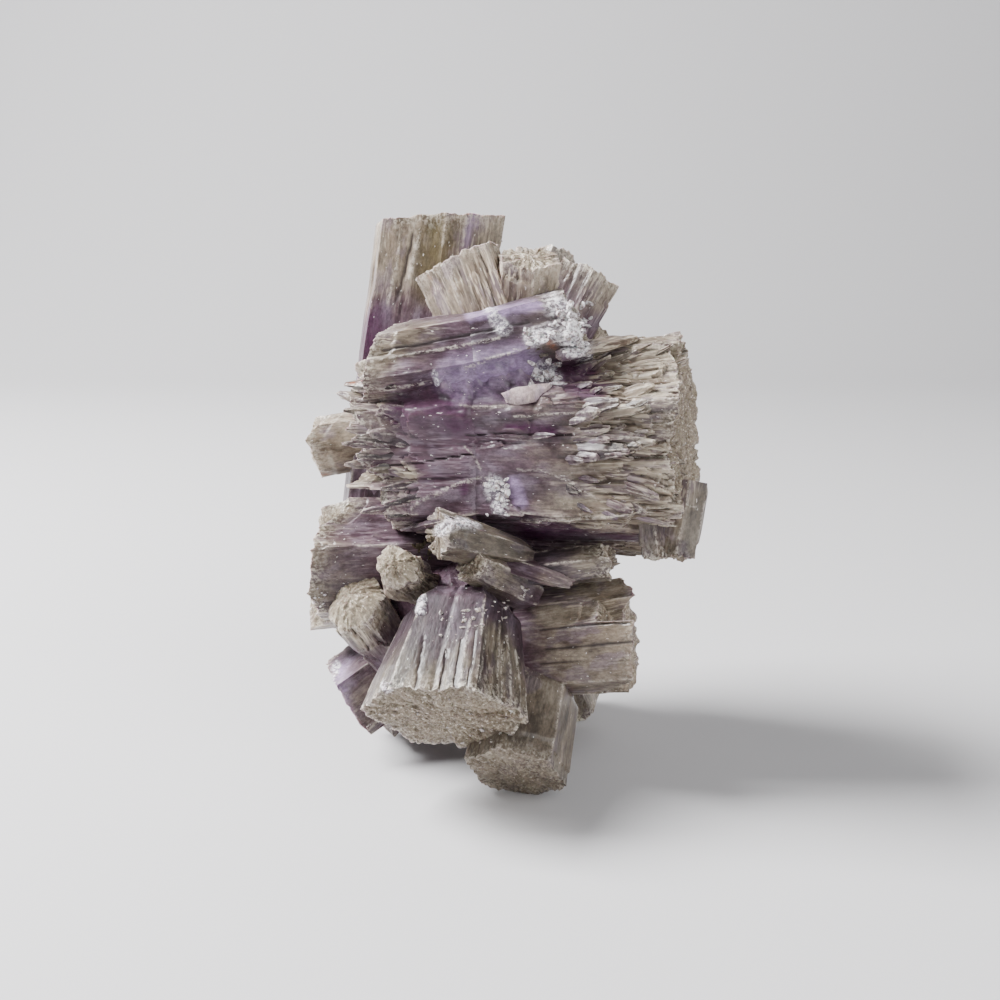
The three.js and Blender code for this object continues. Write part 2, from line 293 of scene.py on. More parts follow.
def lath_tones(s, z, seed):
    """Lighter or darker, from -0.5 to 0.5: a hashed tone for each broken length of each lath."""
    tone = 0
    for number, (width, run, share) in enumerate(TONE_SCALES):
        lath, _ = laths_across(s + waves(s, z, TONE_WANDER, seed + 95), width, seed + 96 + number)
        part = np.floor(z / run + hashed(lath, 2, seed + 97) + waves(s, z, TONE_ENDS, seed + 98))
        tone = tone + share * (hashed(lath, part, seed + 99 + number) - 0.5)
    return tone


def side_relief(s, z, length, look, seed):
    """Millimetres outwards at s millimetres round and z millimetres along a crystal."""
    wander = waves(s, z, WANDER_WAVES, seed + 1)
    ripens = ease((z / length - look["khaki_from"] + ROUGH_LEAD) / ROUGH_RUN)
    rough = look["relief"] * (ROUGH_AT_ROOT + (1 - ROUGH_AT_ROOT) * ripens)
    relief = look["relief"] * waves(s, z, SWELL_WAVES, seed + 3)
    for number, (width, depth) in enumerate(LATH_SCALES):
        lath, edge = laths_across(s + wander, width, seed + 10 * number)
        comes_and_goes = GROOVE_MEAN + GROOVE_SWING * ripple(lath, z / GROOVE_WAVE, seed + 4 + number)
        strength = depth * rough * comes_and_goes
        stands = hashed(lath, np.floor(z / LATH_RUN + hashed(lath, 3, seed)), seed + number) - 0.5
        relief = relief + LATH_STEP * strength * stands
        groove = np.exp(-((edge / (GROOVE_SHARE * width + GROOVE_LEAST)) ** 2))
        relief -= GROOVE_CUT * strength * groove
    for number, (width, run) in enumerate(SHINGLE_SCALES):
        lath, edge = laths_across(s + wander, width, seed + 50 + number)
        round_end = SHINGLE_BOW * np.exp(-edge / (SHINGLE_BOW * width))
        phase = z / run + hashed(lath, 1, seed + 60) + round_end
        whole = np.floor(phase)
        present = hashed(lath, whole, seed + 61) < look["shingle_share"]
        reach = ease((z / length - look["shingle_from"]) / SHINGLE_FADE)
        relief += present * reach * (phase - whole - SHINGLE_MEAN) * look["shingle"] / (1 + number)
    return relief


print("lath widths in mm:", [width for width, _ in LATH_SCALES])

# %% [markdown]
# The end of a crystal is the broken end of the bundle. Across it every lath stops at its own
# height, so it looks like coarse grains with pits between them; around the rim single laths stick
# out or are missing, which gives the serrated edge. Where the outline of an end is known, the
# rim is slid along the axis until the camera sees it on that line.

# %% The ragged rim and the pitted end
RIM_SCALES = ((2.4, 0.5), (1.0, 0.45), (0.45, 0.3))
RIM_NOTCH, RIM_NOTCH_WIDTH = 0.25, 0.15
PIT_SCALES = ((1.5, 0.18), (0.7, 0.2), (0.36, 0.14))
PIT_WAVES = ((2.5, 2.5, 0.2),)
PIT_SQUASH, PIT_GAP, PIT_GAP_WIDTH = 0.6, 0.6, 0.14
NEARLY_PARALLEL = 1e-6
RIM_FACING = (0.25, 0.4)


def rim_reach(s, look, seed):
    """Millimetres that the rim stands out beyond the crystal's length at s millimetres round."""
    out = np.zeros(np.shape(s))
    for number, (width, share) in enumerate(RIM_SCALES):
        lath, edge = laths_across(s, width, seed + 20 * number)
        out += share * 2.0 * (hashed(lath, 11, seed + number) - 0.5)
        out -= RIM_NOTCH * share * np.exp(-((edge / (RIM_NOTCH_WIDTH * width)) ** 2))
    return look["ragged"] * out


def end_pits(x, y, look, seed):
    """Millimetres that the end face lies above or below flat, at x and y millimetres on it."""
    height = waves(x, y, PIT_WAVES, seed + 1)
    for number, (size, depth) in enumerate(PIT_SCALES):
        own, border = grain_cells(x / size, PIT_SQUASH * y / size, seed + 30 * number)
        height += depth * ((own - 0.5) - PIT_GAP * np.exp(-((border / PIT_GAP_WIDTH) ** 2)))
    return look["pits"] * height


def slide_to_outline(points, outward, axis, line, most):
    """Millimetres along the axis that put each point on a line of pixels.

    A point's pixel moves by a fixed step for each millimetre along the axis; where that ray
    crosses a part of the line, the nearest crossing within the most allowed is taken.
    """
    line = np.array(line, float)
    seen = seen_at(points)
    step = seen_at(points + axis) - seen
    best = np.full(len(points), most)
    found = np.zeros(len(points), bool)
    for start, end in zip(line[:-1], line[1:]):
        run = end - start
        cross = step[:, 0] * run[1] - step[:, 1] * run[0]
        cross = np.where(np.abs(cross) < NEARLY_PARALLEL, NEARLY_PARALLEL, cross)
        gap = start - seen
        along = (gap[:, 0] * run[1] - gap[:, 1] * run[0]) / cross
        share = (gap[:, 0] * step[:, 1] - gap[:, 1] * step[:, 0]) / cross
        better = (share >= 0) & (share <= 1) & (np.abs(along) < np.abs(best))
        best = np.where(better, along, best)
        found |= better
    return np.where(found, best, 0.0) * facing(points, outward, *RIM_FACING)


print("end grains in mm:", [size for size, _ in PIT_SCALES])

# %% [markdown]
# Now the crystal itself. The grid has a column for each place round the outline and a row for
# each ring of the profile. It starts as a plain tapered prism; then the relief, the rim and the
# end face are worked out on it. Each crystal's looks are a table of a few numbers, and the ones
# that it doesn't name are these.

# %% A crystal's looks and its plain sides
LOOK = dict(relief=1.0, shingle=0.35, shingle_share=0.6, shingle_from=0.3, ragged=0.5, pits=1.0,
            flat=1.0, roll=0.0, taper=0.86, laths=2, step=0.35, slant=0.0, skew=0.0, dome=0.0,
            wobble=0.03, pale=0.0, sugar=1.0, glass=0.35, joined=False, pointed=0.0, round=0.0,
            purple=0.0, khaki_from=0.55, spacing=0.27, outward=None, ends_at=None, group=None)
SEED_STEP = 101
LEAST_COLUMNS, LEAST_ROWS, ROWS_CROWD = 4, 6, 1.15
ROUND_REACH = 0.93
ROOT_PINCH, ROOT_SHARE = 0.12, 0.14
POINT_FROM, POINT_RUN, POINT_POWER = 0.55, 0.6, 1.5
WOBBLES_ROUND, WOBBLE_LENGTH = 0.7, 1.2
GROUND = 0.0


class Crystal:
    """What is known about one crystal while it is worked out."""


def plain_sides(look, number):
    """A tapered prism: columns at places round the outline times a width that grows with z."""
    c = Crystal()
    c.look, c.number, c.seed, c.radius = look, number, SEED_STEP * number, look["radius"]
    c.root, c.tip = [np.array(look[end]) + STANDING_SHIFT for end in ("root", "tip")]
    c.axis, c.level, c.lift = axis_frame(c.root, c.tip, look["roll"], look["outward"])
    c.length = np.linalg.norm(c.tip - c.root)
    c.x, c.y, c.place, c.share = hexagon(max(LEAST_COLUMNS, int(round(c.radius / look["spacing"]))))
    rounding = 1 - look["round"] + look["round"] * ROUND_REACH / np.hypot(c.x, c.y)
    c.x, c.y = c.x * rounding, c.y * rounding
    c.s = c.place[None, :] * c.radius
    rows = np.linspace(0, 1, max(LEAST_ROWS, int(c.length / look["spacing"])))
    c.z = c.length * (1 - (1 - rows) ** ROWS_CROWD)[:, None] + 0 * c.s
    c.along = c.z / c.length
    out = c.x[:, None] * c.level + look["flat"] * c.y[:, None] * c.lift
    c.outward = out / np.linalg.norm(out, axis=-1, keepdims=True)
    wide = look["taper"] + (1 - look["taper"]) * c.along
    wide = wide - ROOT_PINCH * (1 - ease(c.along / ROOT_SHARE))
    wide = wide * (1 - look["pointed"] * ease((c.along - POINT_FROM) / POINT_RUN) ** POINT_POWER)
    wobble = ripple(c.place[None, :] * WOBBLES_ROUND, c.z / (WOBBLE_LENGTH * c.radius), c.seed + 90)
    c.wide = c.radius * wide * (1 + look["wobble"] * wobble)
    c.bare = c.root + c.z[..., None] * c.axis + c.wide[..., None] * out
    return c


print(len(LOOK), "looks, such as", dict(list(LOOK.items())[:3]))

# %% [markdown]
# Relief is added across the axis and the rim is slid along it, so the two never fold the surface.
# Main laths that broke short leave a ledge near the tip. Close to the rim the end face keeps the
# rim's height, and further in it takes on its own pits, so the two join without a seam.

# %% The sides and the end of one crystal
BRUISE_LUMPS, LUMP_SIZE = 0.5, 1.2
POLISH = 0.85
BREAKS_AT, BREAKS_VARY, BREAK_RUN = 0.78, 0.12, 0.03
RIM_FROM = 0.4
MOST_SLIDE = 4.5
GROOVE_DEPTH, GROOVE_HALF_WIDTH, GROOVE_POLISH = 0.05, 0.07, 0.8
RIM_BLEND, FOLLOW, FOLLOW_POWER = 0.5, 0.75, 1.5


def main_grooves(share, laths):
    """A V between each two main laths of a facet: depth falls to nothing over its half width."""
    depth = np.zeros(share.shape)
    for groove in range(1, laths):
        away = np.abs(share - groove / laths) / GROOVE_HALF_WIDTH
        depth = np.maximum(depth, np.clip(1 - away, 0, 1))
    return GROOVE_DEPTH * depth


def add_relief(c, strokes):
    """The sides' reach across the axis: width less main grooves, plus relief, less the ledge."""
    look, seed, z = c.look, c.seed, c.z
    c.marks, c.raised = strokes_on(c.bare, c.outward, strokes)
    glassy = ease(look["glass"] + waves(c.s, z, GLASSY_WAVES, seed + 8))
    c.marks["smooth"] = np.maximum(c.marks["smooth"], glassy)
    c.relief = side_relief(c.s, z, c.length, look, seed) * (1 - POLISH * c.marks["smooth"]) + c.raised
    lumps = grain_cells(c.s / LUMP_SIZE + 0 * z, z / LUMP_SIZE, seed + 77)[0] - 0.5
    c.relief += BRUISE_LUMPS * c.marks["bruise"] * lumps
    c.main_lath = np.floor(c.place * look["laths"])
    broke = BREAKS_AT + BREAKS_VARY * (hashed(c.main_lath, 1, seed) - 0.5)
    drop = look["step"] * hashed(c.main_lath, 2, seed) * ease((c.along - broke) / BREAK_RUN)
    grooves = main_grooves(c.share, look["laths"]) * (1 - GROOVE_POLISH * c.marks["smooth"])
    c.across = c.wide * (1 - grooves) + c.relief - drop


def add_end(c):
    """The rim's slide along the axis, and the end face as shrinking rings towards the middle."""
    look, flat = c.look, c.look["flat"]
    slant = look["slant"] * c.radius * flat * c.y + look["skew"] * c.radius * c.x
    rim = rim_reach(c.s[0], look, c.seed) + slant
    if look["ends_at"]:
        rim_points = c.bare[-1] + slant[:, None] * c.axis
        rim += slide_to_outline(rim_points, c.outward, c.axis, look["ends_at"], MOST_SLIDE)
    c.z = c.z + rim[None, :] * ease((c.along - RIM_FROM) / (1 - RIM_FROM))
    rings = max(LEAST_COLUMNS, int(c.radius / look["spacing"]))
    inward = np.linspace(1, 0, rings)[1:-1, None]
    end_x = c.across[-1] * c.x * inward
    end_y = flat * c.across[-1] * c.y * inward
    c.near_rim = np.exp(-(1 - inward) * c.radius / RIM_BLEND)
    c.middle = c.length + rim.mean() + look["slant"] * end_y + look["skew"] * end_x
    c.follow = FOLLOW * (rim - slant - rim.mean()) * inward ** FOLLOW_POWER
    pitted = c.middle + c.follow + end_pits(end_x, end_y, look, c.seed)
    c.end_z = c.near_rim * c.z[-1] + (1 - c.near_rim) * pitted
    c.end_z = c.end_z + look["dome"] * c.radius * (1 - inward ** 2)
    pairs = ((c.across * c.x, end_x), (flat * c.across * c.y, end_y), (c.z, c.end_z))
    c.grid = [np.vstack(pair) for pair in pairs]
    c.points = (c.root + c.grid[0][..., None] * c.level + c.grid[1][..., None] * c.lift
                + c.grid[2][..., None] * c.axis)


print("main grooves are", GROOVE_DEPTH, "of the radius deep")

# %% [markdown]
# Beside the points, the mesh keeps numbers for the material: how far along the crystal each point
# lies, how high the relief is there, whether it is on the end face, and the marks. It also keeps
# the place in the crystal's own axes, so that the grain of the colour follows the crystal. The
# barrel and the slabs on it are halves that share one grain and one purple middle.

# %% What the material is told
BARREL_MIDDLE = np.array([-2.3, 2.0, 37.0])
BARREL_ALONG = np.array([0.97, -0.24, 0.03])
BARREL_GRAIN = np.array([[0.24, 0.97, 0.0], [-0.03, 0.0, 1.0], BARREL_ALONG])
PURPLE_REACH, BARREL_TURNS_OVER, CRYSTAL_TURNS_OVER = 11.5, 22.0, 14.0
CRISP_REACH, RELIEF_SHARE, CRISP_SHARE = 0.7, 0.4, 1.1
RIM_WIDTH, CORNER_WIDTH, CORNER_FULL_AT = 0.9, 0.22, 3.0
CORNER_WAVES, CORNER_WAVE_LENGTH = 3, 1.5
OWN_TONE, TONE_POLISH = 0.25, 0.75
OWN_APART = (31.7, 17.3)


def spread_round(values, reach):
    """Each value's mean with its neighbours round the outline, reach columns to both sides."""
    return sum(np.roll(values, k, axis=1) for k in range(-reach, reach + 1)) / (2 * reach + 1)


# Painted highlight, partly edge wear: a pale line along the prism's six edges, which the material
# lightens.
def lit_corners(c):
    """1 on the prism's six edges: distance over a width, squared, in a bell; it comes and goes."""
    from_corner = np.minimum(c.share, 1 - c.share) * c.radius
    bell = np.exp(-((from_corner / (CORNER_WIDTH * min(1.0, c.radius / CORNER_FULL_AT))) ** 2))
    there = ease(0.5 + ripple(c.place[None, :] * CORNER_WAVES, c.z / CORNER_WAVE_LENGTH, c.seed + 91))
    return bell * there * (1 - np.maximum(c.marks["lavender"], c.marks["violet"]))


def material_facts(c, strokes):
    """The numbers at each point. Zone is below 0 where it is purple and above 0 where khaki."""
    look, end = c.look, c.points[len(c.z):]
    flat_end = 0 * end[..., 0]
    end_marks, _ = strokes_on(end, 0 * end + c.axis, strokes)
    facts = {kind: np.vstack([c.marks[kind], end_marks[kind]]) for kind in KINDS}
    from_root = np.vstack([c.along, 1 + flat_end])
    facts["zone"] = (from_root - look["khaki_from"]) * c.length / CRYSTAL_TURNS_OVER
    if look["group"] == "barrel":
        away = np.abs((c.points - BARREL_MIDDLE) @ BARREL_ALONG)
        facts["zone"] = (away - PURPLE_REACH) / BARREL_TURNS_OVER - look["purple"]
    # This height also drives a painted highlight on crests and painted shade in grooves in the
    # material.
    crisp = c.relief - spread_round(c.relief, max(2, int(CRISP_REACH / look["spacing"])))
    side_height = RELIEF_SHARE * (c.relief - c.raised) + CRISP_SHARE * crisp
    facts["height"] = np.vstack([side_height, c.end_z - c.middle - c.follow])
    facts["end_face"] = np.vstack([0 * c.z, 1 - c.near_rim + flat_end]) * look["sugar"]
    facts["rim"] = np.exp(-np.abs(c.grid[2] - c.z[-1][None, :]) / RIM_WIDTH)
    facts["rim"][len(c.z):] *= c.near_rim
    facts["rim"] *= look["sugar"]
    tones = lath_tones(c.s, c.z, c.seed) * (1 - TONE_POLISH * c.marks["smooth"])
    own_tone = OWN_TONE * (hashed(c.main_lath, 5, c.seed) - 0.5)
    facts["pale"] = look["pale"] + np.vstack([own_tone + tones, flat_end])
    facts["corner"] = np.vstack([lit_corners(c), flat_end])
    apart = [step * c.number for step in OWN_APART]
    facts["own"] = np.stack([c.grid[0] + apart[0], c.grid[1] + apart[1], c.grid[2]], -1)
    if look["joined"]:
        facts["own"] = (c.points - BARREL_MIDDLE) @ BARREL_GRAIN.T
    return facts


def crystal_rings(spec, number, strokes):
    """A crystal's points, one row a ring, its two poles and its facts; none lies under ground."""
    c = plain_sides({**LOOK, **spec}, number)
    add_relief(c, strokes)
    add_end(c)
    facts = material_facts(c, strokes)
    poles = np.array([c.root, c.root + c.end_z[-1].mean() * c.axis])
    c.points[..., 2] = np.maximum(c.points[..., 2], GROUND)
    poles[:, 2] = np.maximum(poles[:, 2], GROUND)
    return c.points, poles, facts


trial = crystal_rings(dict(root=(0, 0, 1), tip=(0, 0, 9), radius=3.0), 1, ())[0]
print("a trial crystal has rings and columns:", trial.shape[:2])

# %% [markdown]
# Rings of points become a mesh by joining each ring to the next with quads, and the first and
# the last ring to one point each with triangles, so the surface is closed. Several crystals can
# go into one mesh: their numbers are only shifted. Faces that meet at a sharp angle are kept
# sharp, because crystal edges and broken laths catch the light as lines.

# %% From rings to a mesh
SHARP_ANGLE = np.radians(30)
NUMBERS = ("zone", "height", "end_face", "rim", "corner", "pale", *KINDS)
triangle_counts = {}
surface_points = []


def ring_faces(rows, columns, start):
    """Corner numbers of the quads between rings and of the two fans at the poles."""
    here = start + np.arange(rows * columns).reshape(rows, columns)
    beside = np.roll(here, -1, axis=1)
    quads = np.stack([here[:-1], beside[:-1], beside[1:], here[1:]], -1).reshape(-1, 4)
    first, last = start + rows * columns, start + rows * columns + 1
    root_fan = np.stack([beside[0], here[0], np.full(columns, first)], -1)
    end_fan = np.stack([here[-1], beside[-1], np.full(columns, last)], -1)
    return quads, np.vstack([root_fan, end_fan])


def with_poles(grid):
    """A grid of values as rows, with the first and last ring's mean added for the two poles."""
    rows = grid.reshape(grid.shape[0] * grid.shape[1], -1)
    ends = [ring.reshape(-1, rows.shape[1]).mean(0) for ring in (grid[0], grid[-1])]
    return np.vstack([rows, *ends])


def joined(crystals):
    """The corners, quads and triangles of several crystals, numbered one after another."""
    corners, quads, fans, start = [], [], [], 0
    for points, poles, _ in crystals:
        rows, columns = points.shape[:2]
        corners.append(np.vstack([points.reshape(-1, 3), poles]))
        crystal_quads, crystal_fans = ring_faces(rows, columns, start)
        quads.append(crystal_quads)
        fans.append(crystal_fans)
        start += rows * columns + 2
    return np.vstack(corners), np.vstack(quads), np.vstack(fans)


def closed_mesh(name, corners, quads, fans, smooth):
    """A mesh in metres, from corners in millimetres and its four- and three-sided faces."""
    mesh = bpy.data.meshes.new(name)
    mesh.vertices.add(len(corners))
    mesh.vertices.foreach_set("co", (corners * MM).astype(np.float32).ravel())
    mesh.loops.add(quads.size + fans.size)
    mesh.loops.foreach_set("vertex_index", np.concatenate([quads.ravel(), fans.ravel()]))
    sizes = np.concatenate([np.full(len(quads), 4), np.full(len(fans), 3)])
    mesh.polygons.add(len(sizes))
    mesh.polygons.foreach_set("loop_start", np.cumsum(sizes) - sizes)
    mesh.update(calc_edges=True)
    mesh.polygons.foreach_set("use_smooth", np.full(len(sizes), smooth))
    mesh.set_sharp_from_angle(angle=SHARP_ANGLE)
    return mesh


def carry_facts(mesh, crystals):
    """Each crystal's facts go on the mesh's points, where the material can read them."""
    for fact in (*NUMBERS, "own"):
        kind, field = ("FLOAT_VECTOR", "vector") if fact == "own" else ("FLOAT", "value")
        values = np.vstack([with_poles(facts[fact]) for _, _, facts in crystals])
        attribute = mesh.attributes.new(fact, kind, "POINT")
        attribute.data.foreach_set(field, values.astype(np.float32).ravel())


def make_piece(name, crystals, material, smooth=True):
    """One object from a list of (points, poles, facts), in metres, in the group's frame."""
    corners, quads, fans = joined(crystals)
    mesh = closed_mesh(name, corners, quads, fans, smooth)
    carry_facts(mesh, crystals)
    piece = bpy.data.objects.new(name, mesh)
    bpy.context.scene.collection.objects.link(piece)
    mesh.materials.append(material)
    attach(piece, "root")
    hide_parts(SOLID)
    triangle_counts[name] = 2 * len(quads) + len(fans)
    surface_points.append(corners)
    print(name, triangle_counts[name], "triangles")
    return piece


print("each point carries", len(NUMBERS), "numbers and its place in the crystal")

# %% [markdown]
# Aragonite is calcium carbonate. It lets some light in, so its purple parts glow a little from
# inside, and its broken ends scatter it and look like pale sugar. Its surface has a soft glassy
# shine. The colours are mixed from the attributes: purple to khaki along the crystal, a painted
# highlight on crests and painted shade in grooves, grains on the end face, and the strokes on top.

# %% Helpers for materials
SRGB_KNEE, SRGB_SLOPE, SRGB_OFFSET, SRGB_POWER = 0.04045, 12.92, 0.055, 2.4


def linear(hex_colour):
    """A colour as four linear numbers, from its sRGB hex value."""
    parts = np.array([int(hex_colour[i:i + 2], 16) for i in (1, 3, 5)]) / 255
    bent = ((parts + SRGB_OFFSET) / (1 + SRGB_OFFSET)) ** SRGB_POWER
    return (*np.where(parts <= SRGB_KNEE, parts / SRGB_SLOPE, bent), 1.0)


class Nodes:
    """A material's node tree, with one way to add a node."""

    def __init__(self, name):
        self.material = bpy.data.materials.new(name)
        self.material.use_nodes = True
        self.tree = self.material.node_tree
        self.tree.nodes.clear()

    def add(self, kind, settings=None, **inputs):
        """Add a node of a kind, set its settings, and set or link its inputs by name."""
        node = self.tree.nodes.new(kind)
        for name, value in (settings or {}).items():
            setattr(node, name, value)
        for name, value in inputs.items():
            place = int(name[1:]) if name[0] == "_" else name.replace("_", " ")
            if isinstance(value, bpy.types.NodeSocket):
                self.tree.links.new(value, node.inputs[place])
            else:
                node.inputs[place].default_value = value
        return node

    def number(self, name):
        """A number that the mesh carries at its points."""
        return self.add("ShaderNodeAttribute", {"attribute_name": name}).outputs["Fac"]

    def math(self, operation, a, b=0.0, c=0.0):
        """One sum on numbers or sockets."""
        return self.add("ShaderNodeMath", {"operation": operation}, _0=a, _1=b, _2=c).outputs[0]

    def ramp(self, value, low, high, to_low=0.0, to_high=1.0):
        """A value from low to high laid on to_low to to_high, eased and clamped."""
        return self.add("ShaderNodeMapRange", {"interpolation_type": "SMOOTHSTEP"}, _0=value,
                        _1=low, _2=high, _3=to_low, _4=to_high).outputs[0]

    def mix(self, share, a, b):
        """Colour a with a share of colour b over it."""
        return self.add("ShaderNodeMix", {"data_type": "RGBA"}, _0=share, _6=a, _7=b).outputs[2]

    def brighten(self, colour, value):
        """A colour whose brightness is multiplied by a value."""
        return self.add("ShaderNodeHueSaturation", None, Color=colour, Value=value).outputs[0]

    def noise(self, where, size, detail, along, seed, rough=0.55):
        """Noise with grains of a size in millimetres, drawn out along the crystal where along < 1."""
        placed = self.add("ShaderNodeMapping", None, Vector=where, Location=(seed, 2 * seed, -seed),
                          Scale=(1 / size, 1 / size, along / size)).outputs[0]
        return self.add("ShaderNodeTexNoise", None, Vector=placed, Scale=1.0, Detail=detail,
                        Roughness=rough).outputs["Fac"]


print("mid grey in linear light:", np.round(linear("#808080")[0], 3))

# %% [markdown]
# A noise is a grain size in millimetres, how much fine detail it has, how it is drawn out along
# the crystal, a seed, and for some a roughness. A mark is laid over the colour by its share on
# the mesh times a strength, which is a number or a noise's ramp: its lower and upper end, and
# the strength at each. The order of the rows is the order of the layers.

# %% Colours, noises and layers
# Some colours here are painted light: the pale ones for ridges, crests and edges are painted highlights
# (on edges partly wear too), the near-white speck colour is painted glints, and the two groove colours
# are painted shade.
TINT = {name: linear(hex_colour) for name, hex_colour in {
    "deep purple": "#3f2d36", "purple": "#56434d", "pale purple": "#6c5e6a", "dark khaki": "#483e35",
    "khaki": "#6f6356", "pale khaki": "#a29788", "mauve khaki": "#6b5e65", "lilac fibre": "#84747e",
    "cream fibre": "#b8ad9b", "plum fibre": "#3a2936", "brown fibre": "#463a31", "olive": "#584e35",
    "wine": "#3f1e38", "lavender": "#9e88ad", "ridge_highlight": "#a99e8c", "plum groove shade": "#2c1e29",
    "brown groove shade": "#30271f", "edge": "#c3baae", "dark sugar": "#5a4f41", "sugar": "#8f8471",
    "white sugar": "#e0dacd", "rim": "#d2cabb", "crest_highlight": "#d3ccc0", "crack": "#271d1f",
    "glint": "#e2dcd8", "grey chalk": "#aca6b3", "white chalk": "#f4f1f4", "rust": "#7d4b33"}.items()}
NOISES = {"streak": (0.3, 2.0, 0.1, 3.1), "dark_streak": (0.28, 2.0, 0.08, 6.6),
          "fine_streak": (0.2, 2.0, 0.1, 8.4), "patchy": (2.4, 2.0, 0.6, 9.3),
          "cloud": (4.0, 4.0, 0.7, 1.7), "haze": (1.6, 3.0, 0.5, 4.4),
          "grains": (0.4, 3.0, 0.8, 5.2, 0.7), "frost": (0.3, 4.0, 0.5, 7.7, 0.75),
          "glint_speckle": (0.26, 2.0, 0.3, 12.0)}
GROWN = (("olive", 0.8, "olive"),
         ("violet", ("cloud", 0.35, 0.6, 1.0, 0.6), "wine"),
         ("lavender", ("cloud", 0.35, 0.6, 0.5, 0.85), "lavender"))
# Some of these layers are painted light: a highlight along the prism's edges (partly edge wear), pale
# highlight lines on the crests, and tiny white specks that are painted glints.
WEAR_AND_HIGHLIGHTS = (("corner", ("grains", 0.4, 0.6, 0.1, 0.75), "edge"),
        ("end_face", 0.75, "grainy"),
        ("rim", ("grains", 0.45, 0.62, 0.0, 0.8), "rim"),
        # The crest row paints pale highlight lines where the crest strokes lie.
        ("crest", ("grains", 0.42, 0.6, 0.0, 0.5), "crest_highlight"),
        ("crack", 0.8, "crack"),
        ("glint", 0.8, "glint"),
        ("bruise", ("grains", 0.38, 0.58, 0.25, 0.95), "chalk"),
        ("rust", ("grains", 0.4, 0.6, 0.2, 1.0), "rust"))
POLISHED = 0.25
GLASS_TONE, FIBRE_TONE = 0.78, 1.12
IOR_ARAGONITE = 1.6
GLOW_DEPTH, BUMP_DEPTH = 0.3 * MM, 0.09 * MM
print(len(TINT), "colours,", len(NOISES), "noises and", len(GROWN) + len(WEAR_AND_HIGHLIGHTS), "layers")

# %% [markdown]
# Now the stone, from the inside out. The share of khaki is the zone, pushed about by clouds,
# streaks and marks. Then come the two mottled colours, the fibres where the stone isn't glassy,
# the painted highlights on ridges and painted shade in grooves of the relief, and the wear, with
# painted highlights on edges and crests and painted glints among it.

# %% The aragonite itself
def lay_over(n, at, colour, layers, tints):
    """A colour with layers over it, each a share on the mesh times its strength."""
    for mark, strength, tint in layers:
        if isinstance(strength, tuple):
            strength = n.ramp(at[strength[0]], *strength[1:])
        colour = n.mix(n.math("MULTIPLY", at[mark], strength), colour, tints[tint])
    return colour


def khaki_share(n, at):
    """The zone, plus noise about its middle, plus and minus the marks, eased to 0 to 1."""
    share = n.math("MULTIPLY_ADD", n.math("SUBTRACT", at["cloud"], 0.5), 0.8, at["zone"])
    share = n.math("MULTIPLY_ADD", n.math("SUBTRACT", at["streak"], 0.5), 0.2, share)
    share = n.math("ADD", share, n.math("MULTIPLY", at["khaki"], 0.5))
    share = n.math("SUBTRACT", share, n.math("MULTIPLY", at["violet"], 0.4))
    return n.ramp(share, -0.3, 0.25)


def grown_colour(n, at):
    """Mottled purple and khaki with light and dark fibres, brighter where the mesh says pale."""
    purple = n.mix(n.ramp(at["cloud"], 0.35, 0.6), TINT["deep purple"], TINT["purple"])
    purple = n.mix(n.ramp(at["haze"], 0.45, 0.7), purple, TINT["pale purple"])
    khaki = n.mix(n.ramp(at["haze"], 0.3, 0.6), TINT["dark khaki"], TINT["khaki"])
    khaki = n.mix(n.ramp(at["cloud"], 0.45, 0.7, 0.0, 0.6), khaki, TINT["pale khaki"])
    khaki = n.mix(n.ramp(at["patchy"], 0.5, 0.62, 0.0, 0.6), khaki, TINT["mauve khaki"])
    colour = n.mix(at["to_khaki"], purple, khaki)
    light = n.math("MULTIPLY", n.ramp(at["streak"], 0.52, 0.6, 0.0, 0.7), at["unpolished"])
    light = n.math("MULTIPLY", light, n.ramp(at["patchy"], 0.4, 0.55, 0.25, 1.0))
    colour = n.mix(light, colour, n.mix(at["to_khaki"], TINT["lilac fibre"], TINT["cream fibre"]))
    dark = n.math("MULTIPLY", n.ramp(at["dark_streak"], 0.43, 0.36, 0.0, 0.8), at["unpolished"])
    colour = n.mix(dark, colour, n.mix(at["to_khaki"], TINT["plum fibre"], TINT["brown fibre"]))
    tone = n.ramp(at["unpolished"], POLISHED, 1.0, GLASS_TONE, FIBRE_TONE)
    return n.brighten(colour, n.math("ADD", at["pale"], tone))


def relief_colour(n, at, colour):
    """Frost where the stone is clear, cream on the ridges and a dark tone in the grooves."""
    clear = n.math("MULTIPLY", n.ramp(at["unpolished"], 0.95, 0.4), n.ramp(at["end_face"], 0.5, 0.0))
    frosty = n.math("MULTIPLY", n.math("SUBTRACT", n.ramp(at["frost"], 0.35, 0.65), 0.5), clear)
    colour = n.brighten(colour, n.math("MULTIPLY_ADD", frosty, 0.5, 1.0))
    # Painted highlight: the crests of the relief are lightened towards a pale cream.
    ridge_highlight = n.math("MULTIPLY", n.ramp(at["height"], 0.05, 0.25),
                   n.ramp(at["to_khaki"], 0.2, 1.0, 0.1, 0.65))
    colour = n.mix(ridge_highlight, colour, TINT["ridge_highlight"])
    # Painted shade: the grooves of the relief are darkened towards plum or brown.
    gap = n.mix(at["to_khaki"], TINT["plum groove shade"], TINT["brown groove shade"])
    return n.mix(n.ramp(at["height"], -0.05, -0.3, 0.0, 0.8), colour, gap)


